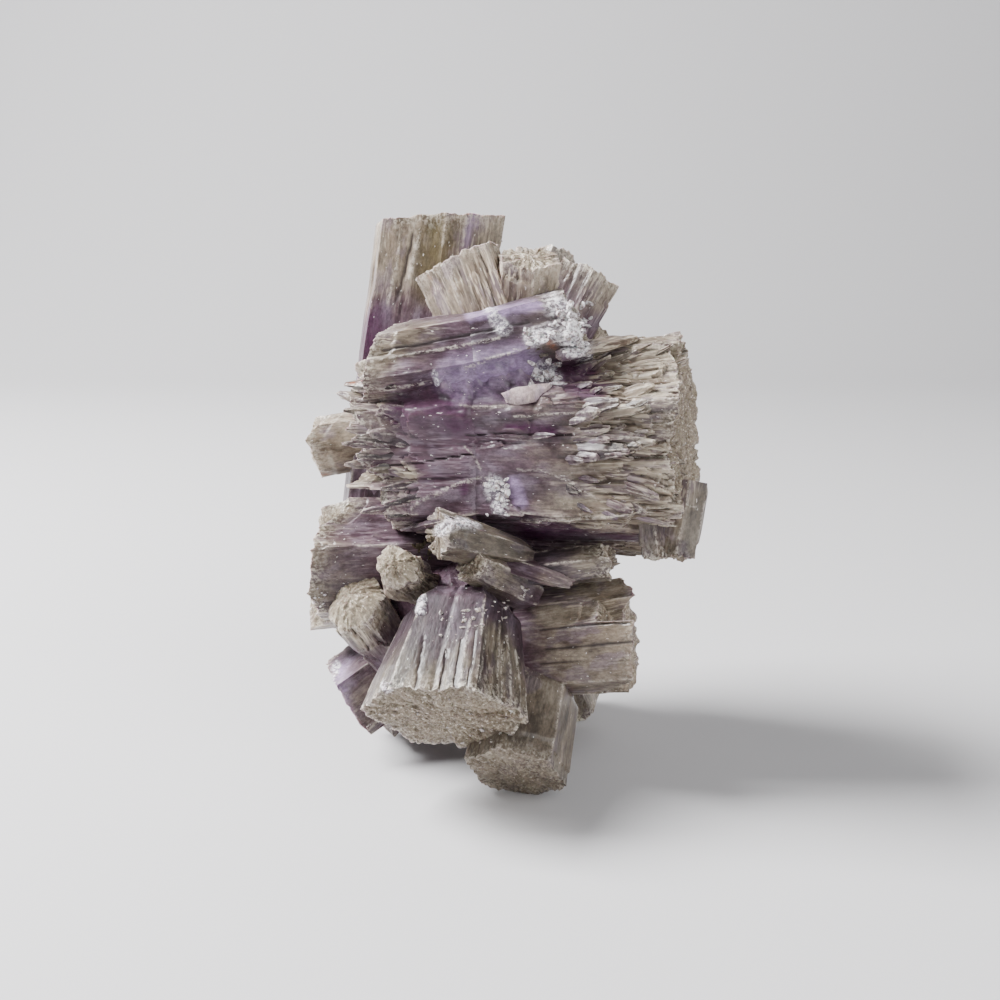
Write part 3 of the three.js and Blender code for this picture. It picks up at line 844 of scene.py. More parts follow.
def fine_surface(n, at):
    """The roughness, and the height of the bumps: fibres on the sides, grains on the ends."""
    roughness = n.ramp(at["fine_streak"], 0.3, 0.7, 0.3, 0.5)
    roughness = n.math("MULTIPLY_ADD", at["end_face"], 0.12, roughness)
    roughness = n.math("MULTIPLY_ADD", at["bruise"], 0.2, roughness)
    fibrous = n.math("MULTIPLY", n.ramp(at["unpolished"], POLISHED, 1.0, 0.4, 1.0),
                     n.ramp(at["end_face"], 0.0, 1.0, 1.0, 0.1))
    sugary = n.math("ADD", n.math("ADD", at["end_face"], at["bruise"]), 0.12)
    bumps = n.math("ADD", n.math("MULTIPLY", at["fine_streak"], fibrous),
                   n.math("MULTIPLY", at["grains"], sugary))
    return roughness, bumps


def aragonite():
    """Translucent calcium carbonate, grown: glassy facets, fibrous sides and sugary ends."""
    n = Nodes("aragonite_twinned")
    own = n.add("ShaderNodeAttribute", {"attribute_name": "own"}).outputs["Vector"]
    at = {name: n.number(name) for name in NUMBERS}
    at.update({name: n.noise(own, *row) for name, row in NOISES.items()})
    at["unpolished"] = n.ramp(at["smooth"], 0.0, 1.0, 1.0, POLISHED)
    # Painted glints: tiny white specks where a fine noise peaks.
    at["glint"] = n.ramp(at["glint_speckle"], 0.71, 0.75)
    at["to_khaki"] = khaki_share(n, at)
    sugar = n.mix(n.ramp(at["grains"], 0.35, 0.6), TINT["dark sugar"], TINT["sugar"])
    sugar = n.mix(n.ramp(at["grains"], 0.6, 0.68), sugar, TINT["white sugar"])
    chalk = n.mix(n.ramp(at["grains"], 0.42, 0.6), TINT["grey chalk"], TINT["white chalk"])
    colour = lay_over(n, at, grown_colour(n, at), GROWN, TINT)
    colour = relief_colour(n, at, colour)
    colour = lay_over(n, at, colour, WEAR_AND_HIGHLIGHTS, {**TINT, "grainy": sugar, "chalk": chalk})
    roughness, bumps = fine_surface(n, at)
    bump, soft_bump = [n.add("ShaderNodeBump", None, Strength=strength, Distance=BUMP_DEPTH,
                             Height=bumps).outputs[0] for strength in (0.7, 0.8)]
    shader = n.add("ShaderNodeBsdfPrincipled", None, Base_Color=colour, Roughness=roughness,
                   IOR=IOR_ARAGONITE, Specular_IOR_Level=0.2, Normal=bump, Subsurface_Weight=0.6,
                   Subsurface_Scale=GLOW_DEPTH, Subsurface_Radius=(1.0, 0.75, 0.85),
                   Coat_Weight=0.12, Coat_Roughness=0.08, Coat_Normal=soft_bump)
    n.add("ShaderNodeOutputMaterial", None, Surface=shader.outputs[0])
    return n.material


crystal_stone = aragonite()
print("material:", crystal_stone.name, len(crystal_stone.node_tree.nodes), "nodes")

# %% [markdown]
# The crystals. Root and tip are the two ends of a crystal's axis and radius is half its width
# over two opposite corners. Most tips are the solid model's own. Those of the left foot, the
# wedges and the plates lie up to four millimetres from it, some roots that are hidden inside the
# group are elsewhere, and a few radii differ by up to 0.6.
# A crystal's purple turns to khaki at the share of its length that khaki_from gives. On the
# barrel the distance along the barrel decides that, and khaki_from is where its sides get rough.

# %% The big crystals
BARREL = dict(group="barrel", joined=True)
SLIVER = dict(laths=1, spacing=0.2, shingle=0.0)
BACK = dict(spacing=0.4)


def crystal(name, root, tip, radius, **looks):
    """A row of the table: a crystal's name, ends and radius, and the looks that are its own."""
    return dict(name=name, root=root, tip=tip, radius=radius, **looks)


CRYSTALS = [
    crystal("barrel_right", (-5.45, 3.45, 36.93), (20.8, -3.0, 38.8), 12.9, spacing=0.2, roll=-4,
            taper=0.895, laths=3, step=0.6, relief=1.7, shingle=0.5, shingle_from=0.07, khaki_from=0.6,
            ragged=0.5, pits=1.6, **BARREL, ends_at=[(640, 344), (668, 345), (678, 360), (678, 395),
            (672, 425), (670, 450), (675, 480), (682, 510), (670, 556)]),
    crystal("barrel_left", (1.0, 1.86, 37.36), (-15.4, 5.8, 36.4), 11.6, pale=0.12, spacing=0.21,
            roll=4, laths=3, taper=1.04, step=0.4, slant=0.24, relief=1.7, shingle=0.4, khaki_from=0.66,
            ragged=0.3, pits=1.4, **BARREL, ends_at=[(388, 334), (367, 364), (352, 384), (350, 402),
            (353, 414), (360, 430), (366, 444), (362, 466), (372, 473), (386, 484), (386, 503),
            (383, 517), (390, 524), (398, 536), (410, 542)]),
    crystal("tall", (-14.0, 12.0, 16.2), (-7.4, 15.0, 63.0), 8.4, group="tall", spacing=0.32, pale=0.25,
            glass=0.6, slant=-0.12, skew=0.17, flat=0.86, roll=9, taper=0.95, step=0.2, relief=0.45,
            shingle=0.05, khaki_from=0.8, ragged=0.25, laths=2),
    crystal("tall_lower", (-9.6, 13.7, 42.0), (-13.4, 12.0, 14.6), 7.9, pale=-0.2, glass=0.7, roll=-16,
            relief=0.6, khaki_from=1.2, spacing=0.4),
    crystal("shoulder_left", (0.5, 0.15, 49.7), (-13.6, 1.6, 47.0), 7.4, glass=0.6, flat=0.66, roll=18,
            taper=0.96, slant=-0.45, relief=0.5, khaki_from=0.5, shingle=0.1, ragged=0.3, **BARREL),
    crystal("shoulder_right", (-3.5, 0.42, 48.83), (9.0, -1.0, 52.0), 7.4, pale=-0.35, glass=0.6,
            flat=0.66, roll=-18, taper=0.96, slant=-0.25, relief=0.4, khaki_from=1.1, shingle=0.05,
            **BARREL),
    crystal("front_foot", (-4.1, -7.4, 21.4), (-6.1, -17.0, 12.0), 9.6, group="foot", spacing=0.21,
            glass=0.7, flat=0.92, roll=30, taper=0.68, step=0.1, relief=0.3, shingle=0.08,
            khaki_from=0.7, ragged=0.4, pits=0.9, pale=-0.35, ends_at=[(362, 716), (372, 700),
            (381, 690), (400, 686), (430, 690), (465, 686), (490, 696), (528, 714), (514, 728),
            (495, 737), (464, 746), (454, 740), (440, 738), (424, 752), (400, 755), (384, 745),
            (370, 738), (362, 716)]),
    crystal("left_block", (-5.0, 6.0, 23.3), (-21.6, 3.0, 23.3), 8.1, group="left_block", pale=0.08,
            glass=0.7, taper=0.9, slant=-0.15, relief=0.7, khaki_from=0.85, ragged=0.3,
            ends_at=[(352, 492), (344, 510), (333, 517), (322, 524), (315, 533), (311, 545), (311, 580),
            (308, 595), (315, 613), (322, 621), (330, 628), (345, 636)]),
    crystal("right_block", (2.5, -2.0, 15.0), (13.4, -6.6, 17.6), 7.1, group="right_block", round=0.4,
            pale=0.4, glass=0.75, taper=0.94, relief=0.35, khaki_from=0.42, ragged=0.5, shingle=0.1,
            pits=0.8, sugar=0.5, ends_at=[(600, 570), (622, 578), (645, 602), (633, 619), (631, 666),
            (636, 680), (597, 694), (580, 707)]),
    crystal("bottom_foot", (3.8, -6.0, 11.4), (1.6, -14.0, 4.1), 6.2, glass=0.75, roll=10, taper=0.9,
            relief=0.15, khaki_from=-0.1, shingle=0.02, ragged=0.4, pits=0.7, laths=1, sugar=0.6,
            pale=-0.2),
    crystal("left_foot", (-6.5, 7.5, 13.5), (-16.4, 2.8, 6.9), 6.5, pale=0.35, glass=0.95, roll=25,
            ragged=0.25, sugar=0.4, taper=0.84, relief=0.1, khaki_from=0.95, group="left_foot",
            ends_at=[(318, 636), (322, 655), (330, 674), (343, 698), (352, 714), (362, 728),
            (372, 736)]),
    crystal("heart", (-3.6, 6.0, 12.0), (-6.4, 1.0, 25.0), 8.4, group="heart", glass=0.8, taper=1.0,
            spacing=0.4, khaki_from=1.6, sugar=0.0, relief=0.4, pits=0.3, pale=0.9),
    crystal("under_stub", (-2.0, 2.0, 22.0), (-1.2, 3.4, 7.6), 5.0, roll=12, spacing=0.4),
    crystal("comb", (-0.4, 1.5, 48.0), (-4.9, 4.6, 58.8), 5.8, group="comb", glass=0.45, flat=0.62,
            roll=100, taper=0.84, relief=1.2, pale=0.62, khaki_from=0.1, ragged=0.4, shingle=0.1,
            laths=3),
    crystal("cap", (2.6, 4.0, 50.0), (3.2, 1.6, 59.4), 4.0, group="cap", glass=0.4, roll=10, taper=0.84,
            relief=0.8, khaki_from=0.3, pits=1.0, pale=0.4),
    crystal("right_crown", (5.3, 8.0, 47.0), (10.2, 12.0, 56.4), 4.6, glass=0.5, taper=0.84,
            khaki_from=0.75, relief=0.7),
    crystal("crown_chip", (3.5, 8.0, 50.6), (6.6, 13.0, 58.8), 3.0, roll=20, laths=1, khaki_from=0.4),
    crystal("left_stub", (-12.0, 12.0, 37.6), (-22.4, 12.0, 35.8), 4.0, group="left_stub", dome=0.25,
            round=0.5, pale=0.5, glass=0.85, roll=20, laths=1, khaki_from=0.3, relief=0.2, ragged=0.25,
            ends_at=[(345, 410), (330, 414), (314, 428), (306, 440), (311, 450), (318, 466),
            (324, 482)]),
    crystal("wedge", (3.3, -7.2, 27.1), (-6.7, -10.6, 30.6), 3.6, group="wedge", sugar=0.4, taper=0.5,
            glass=1.4, flat=0.8, roll=14, pale=-0.3, khaki_from=-0.1, slant=0.3, relief=0.06, pits=0.5,
            ragged=0.7, **SLIVER),
    crystal("low_wedge", (3.6, -6.0, 22.4), (-3.4, -10.8, 27.4), 2.6, group="wedge", glass=1.3,
            khaki_from=0.4, relief=0.1, pale=-0.1, ragged=0.6, **SLIVER),
    crystal("right_plate", (0.6, -6.0, 24.8), (12.2, -8.6, 26.9), 2.8, group="plate", glass=0.6,
            flat=0.8, laths=1, khaki_from=0.7, relief=0.35, shingle=0.2, spacing=0.2, ragged=0.8,
            pale=-0.35),
    crystal("blue_plate", (0.9, -8.8, 26.9), (7.9, -10.2, 24.9), 1.7, group="blue", pointed=0.4,
            pale=0.1, glass=0.95, flat=0.35, roll=20, khaki_from=0.45, relief=0.06, taper=1.0,
            sugar=0.0, dome=0.0, **SLIVER),
    crystal("round_stub", (-8.6, 0.0, 20.2), (-11.4, -9.4, 26.3), 2.8, group="stub", roll=15, pale=-0.1,
            round=0.6, glass=0.1, laths=1, khaki_from=0.0, relief=0.6, dome=0.7, pits=1.4, spacing=0.2,
            ragged=0.4, wobble=0.3),
    crystal("left_prong", (-11.6, 2.0, 11.0), (-16.4, -4.6, 20.9), 3.8, group="prong", pits=1.0,
            wobble=0.12, round=0.6, laths=1, khaki_from=0.75, relief=0.8, dome=0.45, spacing=0.24),
    crystal("corner_plate", (20.8, -8.6, 36.0), (19.2, -11.0, 28.0), 2.7, group="corner", flat=0.45,
            roll=14, pointed=0.2, khaki_from=-0.1, glass=0.9, relief=0.1, ragged=0.9, wobble=0.15,
            pale=0.0, sugar=0.3, **SLIVER),
    crystal("corner_prong", (16.4, -9.0, 34.0), (17.2, -9.6, 27.8), 2.0, group="corner", glass=0.8,
            khaki_from=0.5, relief=0.1, dome=0.3, **SLIVER),
    crystal("back_upper_left", (-2.0, 6.0, 34.0), (-12.6, 21.0, 37.5), 7.2, roll=12, **BACK),
    crystal("back_middle", (4.0, 6.0, 31.0), (10.6, 20.8, 31.4), 7.8, **BACK),
    crystal("back_upper_right", (3.0, 6.0, 40.0), (10.4, 18.6, 47.0), 6.0, roll=15, taper=0.84, **BACK),
    crystal("back_left_foot", (-2.0, 6.0, 22.6), (-8.0, 17.0, 3.9), 6.6, roll=8, taper=0.84, **BACK),
    crystal("back_foot", (3.0, 4.0, 22.0), (7.6, 14.8, 2.4), 6.0, taper=0.84, **BACK),
    crystal("back_right", (6.0, 4.0, 34.0), (19.6, 12.4, 35.6), 5.8, roll=20, taper=0.84, **BACK),
    crystal("back_low_middle", (2.0, 8.0, 26.0), (2.6, 21.4, 19.4), 5.2, roll=10, taper=0.84, **BACK),
]
print(len(CRYSTALS), "crystals, the widest", 2 * max(spec["radius"] for spec in CRYSTALS), "mm")

# %% [markdown]
# The strokes, by group of crystals. Each is its kind, its half width in pixels, how far it is
# raised in millimetres, and the pixels that its line runs through. A kind of None only moves the
# surface, and smooth takes the fine relief away.

# %% Marks of growth and wear, and crests of painted highlight
STROKES = {
    "barrel": [
        (None, 26, 1.5, [(415, 400), (470, 394), (512, 384)]),
        (None, 12, 1.9, [(450, 384), (486, 379), (522, 373)]),
        (None, 10, -1.1, [(396, 405), (460, 404), (530, 400)]),
        ("bruise", 6, 0.1, [(490, 308), (503, 328)]),
        ("bruise", 13, 0.4, [(560, 304), (584, 318)]),
        ("bruise", 8, 0.5, [(532, 340), (548, 333)]),
        ("bruise", 12, 0.4, [(566, 336), (578, 350)]),
        ("bruise", 7, 0.3, [(540, 368), (556, 380)]),
        ("bruise", 8, 0.1, [(494, 484), (500, 508)]),
        ("bruise", 3, 0.1, [(437, 372), (441, 381)]),
        ("crest", 1.2, 0.05, [(370, 362), (410, 354), (440, 350), (500, 338)]),
        ("crest", 1.2, 0.05, [(346, 384), (392, 387), (432, 378)]),
        ("crest", 0.9, 0.05, [(463, 445), (474, 456), (481, 470)]),
        ("crest", 1.4, 0.1, [(399, 508), (431, 496), (462, 483), (484, 477)]),
        ("crest", 0.8, 0.05, [(515, 470), (540, 470), (570, 483), (595, 500)]),
        ("crest", 0.8, 0.1, [(514, 418), (540, 415), (575, 413), (604, 410)]),
        ("crest", 1.2, 0.2, [(522, 521), (600, 518), (660, 508)]),
        ("crack", 1.4, -0.15, [(380, 350), (420, 345), (480, 332), (530, 322)]),
        ("crack", 1.0, -0.25, [(362, 467), (412, 464), (471, 454)]),
        ("crack", 0.9, -0.25, [(462, 436), (490, 433), (520, 434), (600, 436)]),
        ("khaki", 22, 0.0, [(385, 348), (428, 334)]),
        ("violet", 20, 0.0, [(438, 398), (458, 426)]),
        ("violet", 16, 0.0, [(400, 414), (436, 410)]),
        ("violet", 7, -0.2, [(456, 408), (459, 422)]),
        ("violet", 13, 0.0, [(440, 398), (458, 422)]),
        ("violet", 5, 0.0, [(508, 427), (550, 430)]),
        ("violet", 5, 0.0, [(463, 484), (464, 492)]),
        ("violet", 11, 0.0, [(526, 535), (650, 543)]),
        ("smooth", 12, 0.0, [(526, 535), (650, 543)]),
        ("khaki", 10, 0.0, [(380, 472), (405, 471)]),
        ("rust", 3, 0.0, [(547, 342), (552, 347)]),
        ("rust", 2, 0.0, [(346, 384), (366, 381)]),
        ("smooth", 26, 0.0, [(425, 406), (480, 406), (520, 400)]),
        ("smooth", 22, 0.3, [(430, 372), (470, 368), (560, 362)]),
        ("lavender", 22, 0.0, [(462, 378), (515, 368)]),
        ("crest", 1.2, 0.05, [(466, 366), (490, 358), (520, 350)]),
        ("khaki", 12, 0.0, [(600, 380), (640, 375)]),
        ("violet", 16, 0.0, [(560, 372), (590, 384)]),
        ("lavender", 6, 0.0, [(513, 482), (520, 504)]),
        ("lavender", 5, 0.0, [(470, 316), (540, 304)]),
        ("smooth", 20, -0.25, [(518, 490), (570, 500)]),
        ("smooth", 14, 0.0, [(400, 512), (470, 500)]),
        ("smooth", 9, 0.0, [(480, 455), (550, 452)]),
        ("smooth", 14, 0.0, [(400, 350), (470, 340), (540, 322)]),
    ],
    "tall": [
        ("violet", 16, 0.0, [(374, 318), (364, 384)]),
        ("olive", 17, 0.0, [(436, 240), (430, 290)]),
        ("khaki", 14, 0.0, [(492, 222), (490, 240)]),
        ("smooth", 14, -0.2, [(436, 236), (430, 300)]),
        ("lavender", 6, 0.0, [(472, 222), (466, 254)]),
        ("crest", 2, 0.1, [(468, 220), (461, 254)]),
        ("crest", 2, 0.05, [(420, 232), (408, 280)]),
        ("crest", 1.3, 0.05, [(400, 238), (388, 300)]),
        ("crack", 1.5, -0.15, [(412, 236), (396, 300)]),
    ],
    "foot": [
        ("bruise", 4, 0.1, [(422, 596), (421, 610)]),
        ("bruise", 4, 0.1, [(383, 684), (388, 690)]),
        ("crest", 1.1, 0.05, [(470, 620), (460, 684)]),
        ("crest", 1.1, 0.0, [(488, 630), (480, 682)]),
        ("crack", 1.1, -0.12, [(424, 636), (416, 682)]),
        ("crack", 1.4, -0.2, [(447, 648), (441, 682)]),
        ("crack", 1.3, -0.15, [(462, 640), (455, 684)]),
        ("crack", 1.0, -0.1, [(476, 630), (469, 682)]),
        (None, 6, -0.3, [(495, 620), (483, 678)]),
        ("smooth", 8, 0.0, [(515, 640), (508, 690)]),
        ("khaki", 14, 0.0, [(498, 630), (512, 705)]),
        ("crest", 0.9, 0.05, [(500, 628), (497, 690)]),
        ("crest", 1.2, 0.06, [(507, 634), (511, 700)]),
        ("crest", 1.0, 0.06, [(515, 650), (521, 702)]),
        ("crest", 0.9, 0.04, [(503, 650), (503, 704)]),
        ("smooth", 16, 0.0, [(440, 606), (478, 612)]),
        ("smooth", 11, 0.0, [(482, 625), (474, 680)]),
    ],
    "left_stub": [("rust", 3, 0.0, [(314, 474), (336, 480)]),
                  ("crest", 2, 0.0, [(306, 440), (330, 416)])],
    "wedge": [("smooth", 16, 0.0, [(480, 545), (520, 558)]),
              ("bruise", 6, 0.1, [(440, 530), (452, 522), (476, 522)])],
    "corner": [("crest", 1.8, 0.1, [(676, 502), (697, 508)])],
    "comb": [("rust", 2.5, 0.0, [(427, 278), (428, 279)]),
             ("crest", 2, 0.1, [(449, 262), (457, 290)])],
    "left_foot": [("lavender", 10, 0.0, [(352, 660), (365, 710)]),
                  ("bruise", 3, 0.0, [(346, 656), (351, 690)])],
    "right_block": [("rust", 2.5, 0.0, [(607, 669), (607, 672)]),
                    ("crack", 1.1, -0.15, [(540, 630), (575, 626), (592, 627)]),
                    ("crack", 1.1, -0.15, [(545, 650), (575, 647), (605, 645)]),
                    ("crack", 1.0, -0.12, [(540, 664), (580, 660)]),
                    ("violet", 8, 0.0, [(535, 694), (570, 704), (600, 696)])],
}
print(sum(len(strokes) for strokes in STROKES.values()), "strokes in", len(STROKES), "groups")

# %% [markdown]
# Each crystal becomes a piece of its own, with the strokes of its group on it.

# %% Build the big crystals
for number, spec in enumerate(CRYSTALS, start=1):
    rings = crystal_rings(spec, number, STROKES.get(spec.get("group"), ()))
    make_piece(spec["name"], [rings], crystal_stone)

# %% [markdown]
# On the barrel, single laths have split off and broken, and their blunt ends overlap like roof
# tiles. Each one here is a small crystal of its own between two pixels of the view: a ray from
# the camera finds where it starts and ends on the solid, it is sunk at its root and stands proud
# at its tip. A row gives the two pixels, the width in pixels, how proud it stands in millimetres,
# how purple it is, and for some how pale.

# %% Laths that the camera sees
BARREL_ROOT = np.array([-14.2, 5.6, 36.3]) + STANDING_SHIFT
BARREL_TIP = np.array(CRYSTALS[0]["tip"]) + STANDING_SHIFT
BARREL_LENGTH = np.linalg.norm(BARREL_TIP - BARREL_ROOT)
BARREL_AXIS = (BARREL_TIP - BARREL_ROOT) / BARREL_LENGTH
PIXELS_PER_MM = 8.9
STEPS_OFF, FURTHEST_OFF = 20, 0.5
SUNK, PROUDER = 0.7, 1.35
LATH_PURPLE, LATH_PALE, LATH_FLAT = 0.5, -0.5, 0.62
LATH = dict(laths=1, flat=LATH_FLAT, relief=0.45, shingle=0.06, ragged=0.35, pits=0.6, dome=0.3,
            taper=0.95, spacing=0.24, step=0.15, wobble=0.13, pointed=0.6, glass=0.2, sugar=0.35,
            group="barrel")
RIGHT_LATHS = [
    ((560, 340), (634, 342), 26, 1.0, 0.1, 0.3), ((566, 362), (633, 356), 15, 0.8, 0.2),
    ((552, 382), (633, 369), 26, 0.7, 0.9, 0.1), ((606, 396), (653, 389), 17, 0.9, 0.3, 0.2),
    ((610, 366), (684, 358), 30, 0.5, 0.0, 0.2), ((616, 384), (680, 378), 22, 0.4, 0.0, 0.1),
    ((618, 402), (676, 397), 20, 0.3, 0.0), ((612, 412), (672, 410), 12, 0.3, 0.0),
    ((572, 394), (622, 391), 10, 0.8, 0.5), ((560, 408), (621, 404), 18, 1.0, 0.5),
    ((545, 425), (641, 427), 20, 0.7, 0.9, -0.6), ((528, 435), (557, 436), 7, 0.9, 0.5),
    ((540, 450), (624, 450), 25, 0.8, 0.6, -0.6), ((592, 436), (644, 438), 16, 0.6, 0.7),
    ((626, 434), (668, 430), 16, 0.8, 0.2), ((606, 454), (664, 451), 15, 0.3, 0.2),
    ((604, 468), (660, 464), 14, 0.6, 0.2), ((634, 464), (684, 462), 13, 0.4, 0.1),
    ((552, 478), (656, 477), 16, 0.4, 0.5), ((604, 492), (668, 487), 15, 0.4, 0.3),
    ((590, 508), (680, 500), 15, 0.3, 0.4), ((640, 478), (684, 476), 12, 0.3, 0.2),
    ((600, 522), (680, 518), 14, 0.3, 0.5), ((630, 354), (690, 352), 14, 0.4, 0.0),
    ((640, 420), (682, 418), 12, 0.3, 0.1), ((645, 444), (684, 442), 13, 0.3, 0.1),
]
LEFT_LATHS = [
    ((395, 376), (346, 385), 15, 0.5, 0.4),
    ((395, 389), (343, 397), 15, 0.4, 0.5), ((390, 406), (345, 410), 14, 0.3, 0.5),
    ((395, 421), (350, 424), 14, 0.3, 0.4), ((440, 440), (358, 438), 14, 0.6, 0.3),
    ((430, 454), (360, 455), 14, 0.6, 0.3), ((412, 470), (368, 472), 12, 0.3, 0.1),
    ((440, 486), (384, 487), 11, 0.6, 0.2), ((462, 492), (386, 504), 13, 0.5, 0.4),
    ((440, 512), (388, 517), 14, 0.3, 0.3), ((450, 530), (402, 531), 13, 0.3, 0.3),
]
solid_mesh = bpy.data.objects[SOLID].data
solid_tree = BVHTree.FromPolygons([v.co for v in solid_mesh.vertices],
                                  [p.vertices for p in solid_mesh.polygons])


def on_solid(pixel, towards):
    """Where the ray through a pixel meets the solid; off it, the next pixel on a line that does."""
    for share in np.linspace(0, FURTHEST_OFF, STEPS_OFF):
        sideways, down = (np.array(pixel) * (1 - share) + np.array(towards) * share
                          - MIDDLE_PX) / FOCAL_PX
        ray = VIEW_AXIS + sideways * np.array([1.0, 0.0, 0.0]) - down * VIEW_UP
        place = solid_tree.ray_cast(VIEW_FROM * MM, ray)[0]
        if place is not None:
            return np.array(place) / MM
    raise ValueError(f"pixel {pixel} is off the solid")


def lath_between(start, end, width, proud, purple, pale=LATH_PALE):
    """A lath along the barrel from one pixel to another: sunk at its root, proud at its tip."""
    root, tip = on_solid(start, end), on_solid(end, start)
    from_axis = tip - BARREL_ROOT
    outward = from_axis - (from_axis @ BARREL_AXIS) * BARREL_AXIS
    outward /= np.linalg.norm(outward)
    radius = 0.5 * width / PIXELS_PER_MM
    tip = tip + outward * (PROUDER * proud - LATH_FLAT * radius) - STANDING_SHIFT
    root = root - outward * (SUNK + LATH_FLAT * radius) - STANDING_SHIFT
    to_the_right = end[0] > start[0]
    return {**LATH, "root": root, "tip": tip, "radius": radius, "outward": outward,
            "purple": LATH_PURPLE * purple if to_the_right else 0.0, "pale": pale}


laths_right = [lath_between(*row) for row in RIGHT_LATHS]
laths_left = [lath_between(*row) for row in LEFT_LATHS]
print(len(laths_right), "laths to the right and", len(laths_left), "to the left")

# %% [markdown]
# Between them lie many thinner splinters, at hashed places in two areas of pixels. A splinter
# whose two rays met different crystals would lie across the barrel, so it is left out. On the
# side away from the camera the laths are set out by their turn round the axis.

# %% Splinters, and laths that the camera doesn't see
RIGHT_AREA, LEFT_AREA = ((548, 352), (655, 518)), ((374, 392), (428, 514))
SPLINTERS_RIGHT, SPLINTERS_LEFT, SPLINTER_SEED, SIDE_SEED = 84, 26, 1700, 10
SPLINTER_RUN, SPLINTER_WIDTH, SPLINTER_PROUD = (22, 56), (7, 16), (0.35, 1.25)
SPLINTER_PURPLE, SPLINTER_PALE = (0.1, 0.9), (-0.54, 0.06)
SPLINTER_RISE, SPLINTER_FAN, FAN_MIDDLE = 3.5, 0.05, 440
LEAST_LIE, LONGEST_SPLINTER = 0.78, 9.5
HIDDEN_LATHS, HIDDEN_SEED, HIDDEN_FROM, HIDDEN_TURN = 22, 900, 92, 196
HIDDEN_ALONG, HIDDEN_ROWS, ROW_APART = (24, 26), 4, 3.2
HIDDEN_LENGTH, HIDDEN_WIDTH, HIDDEN_PROUD = (7, 12), (2.0, 3.6), (0.2, 0.9)
SURFACE_AT_ROOT = 0.86


def between(limits, share):
    """The value a share of the way from the lower limit to the upper one."""
    return limits[0] + (limits[1] - limits[0]) * share


def splinter(number, area, way):
    """A thin lath in an area of pixels, to the right (1) or the left (-1), or nothing."""
    a, b, c, d, e, f = hashed(number, np.arange(6), SPLINTER_SEED + SIDE_SEED * way)
    start = between(np.array(area, float), np.array([a, b]))
    rise = SPLINTER_RISE * (d - 0.5) + SPLINTER_FAN * way * (FAN_MIDDLE - start[1])
    end = start + np.array([way * between(SPLINTER_RUN, c), -rise])
    spec = lath_between(start, end, between(SPLINTER_WIDTH, e), between(SPLINTER_PROUD, f),
                        between(SPLINTER_PURPLE, b), between(SPLINTER_PALE, c))
    along = spec["tip"] - spec["root"]
    length = np.linalg.norm(along)
    kept = length < LONGEST_SPLINTER and abs(along @ BARREL_AXIS) > LEAST_LIE * length
    return spec if kept else None


def lath_at_turn(turn, along, length, width, proud):
    """A lath on the hidden side: turn in degrees round the axis from the front, upwards first."""
    axis, level, _ = axis_frame(BARREL_ROOT, BARREL_TIP, 0)
    angle = np.radians(-turn)
    outward = -level * np.cos(angle) + np.cross(axis, -level) * np.sin(angle)
    apothem = CRYSTALS[0]["radius"] * np.cos(np.pi / SIX)
    from_face = np.radians((turn % 60 + 90) % 60 - 30)
    grown = SURFACE_AT_ROOT + (1 - SURFACE_AT_ROOT) * along / BARREL_LENGTH
    surface = apothem * grown / np.cos(from_face)
    tip = BARREL_ROOT + axis * along + outward * (surface + proud - 0.5 * width * LATH_FLAT)
    root = tip - axis * length - outward * (proud + SUNK)
    return {**LATH, "root": root - STANDING_SHIFT, "tip": tip - STANDING_SHIFT,
            "radius": width / 2, "outward": outward, "khaki_from": 0.2, "spacing": 0.3}


def hidden_lath(number):
    """One of the hidden laths: evenly set out round the axis, in rows, with hashed sizes."""
    a, b, c, d = hashed(number, np.arange(4), HIDDEN_SEED)
    turn = HIDDEN_FROM + HIDDEN_TURN * number / HIDDEN_LATHS
    along = between(HIDDEN_ALONG, a) + ROW_APART * (number % HIDDEN_ROWS)
    return lath_at_turn(turn, along, between(HIDDEN_LENGTH, b), between(HIDDEN_WIDTH, c),
                        between(HIDDEN_PROUD, d))


splinters_right = [splinter(number, RIGHT_AREA, 1) for number in range(SPLINTERS_RIGHT)]
splinters_left = [splinter(number, LEFT_AREA, -1) for number in range(SPLINTERS_LEFT)]
laths_right += [spec for spec in splinters_right if spec]
laths_left += [spec for spec in splinters_left if spec]
laths_behind = [hidden_lath(number) for number in range(HIDDEN_LATHS)]
print("laths and splinters:", [len(specs) for specs in (laths_right, laths_left, laths_behind)])

# %% [markdown]
# The laths of a side make one piece. They take the colours of the barrel's strokes but not the
# relief, which the barrel under them already has.

# %% Build the laths
FIRST_LATH, SIDES_APART = 40, 110
colour_only = [(kind, half, 0.0, line) for kind, half, _, line in STROKES["barrel"] if kind]
sides = (("laths_right", laths_right, colour_only), ("laths_left", laths_left, colour_only),
         ("laths_behind", laths_behind, ()))
for place, (name, specs, strokes) in enumerate(sides):
    rings = [crystal_rings(spec, FIRST_LATH + SIDES_APART * place + k, strokes)
             for k, spec in enumerate(specs)]
    make_piece(name, rings, crystal_stone)

# %% [markdown]
# Loose grains cling to the crystals: white dust and chips where they were knocked, and a little
# brown clay left in the hollow. A chip is a body with flat faces: in each direction it reaches
# to the nearest of a few planes set round its middle.

# %% One chip
CHIP_PLANES, CHIP_ROWS, CHIP_COLUMNS = 6, 6, 10
CHIP_REACH, FURTHEST_REACH = (0.45, 0.9), 1.7
LEAST_COSINE = 0.05
CHIP_ZONE = 0.4


def ways(polar, turn):
    """Unit vectors for angles from straight up and angles of turn round it."""
    polar, turn = np.broadcast_arrays(polar, turn)
    return np.stack([np.sin(polar) * np.cos(turn), np.sin(polar) * np.sin(turn), np.cos(polar)], -1)


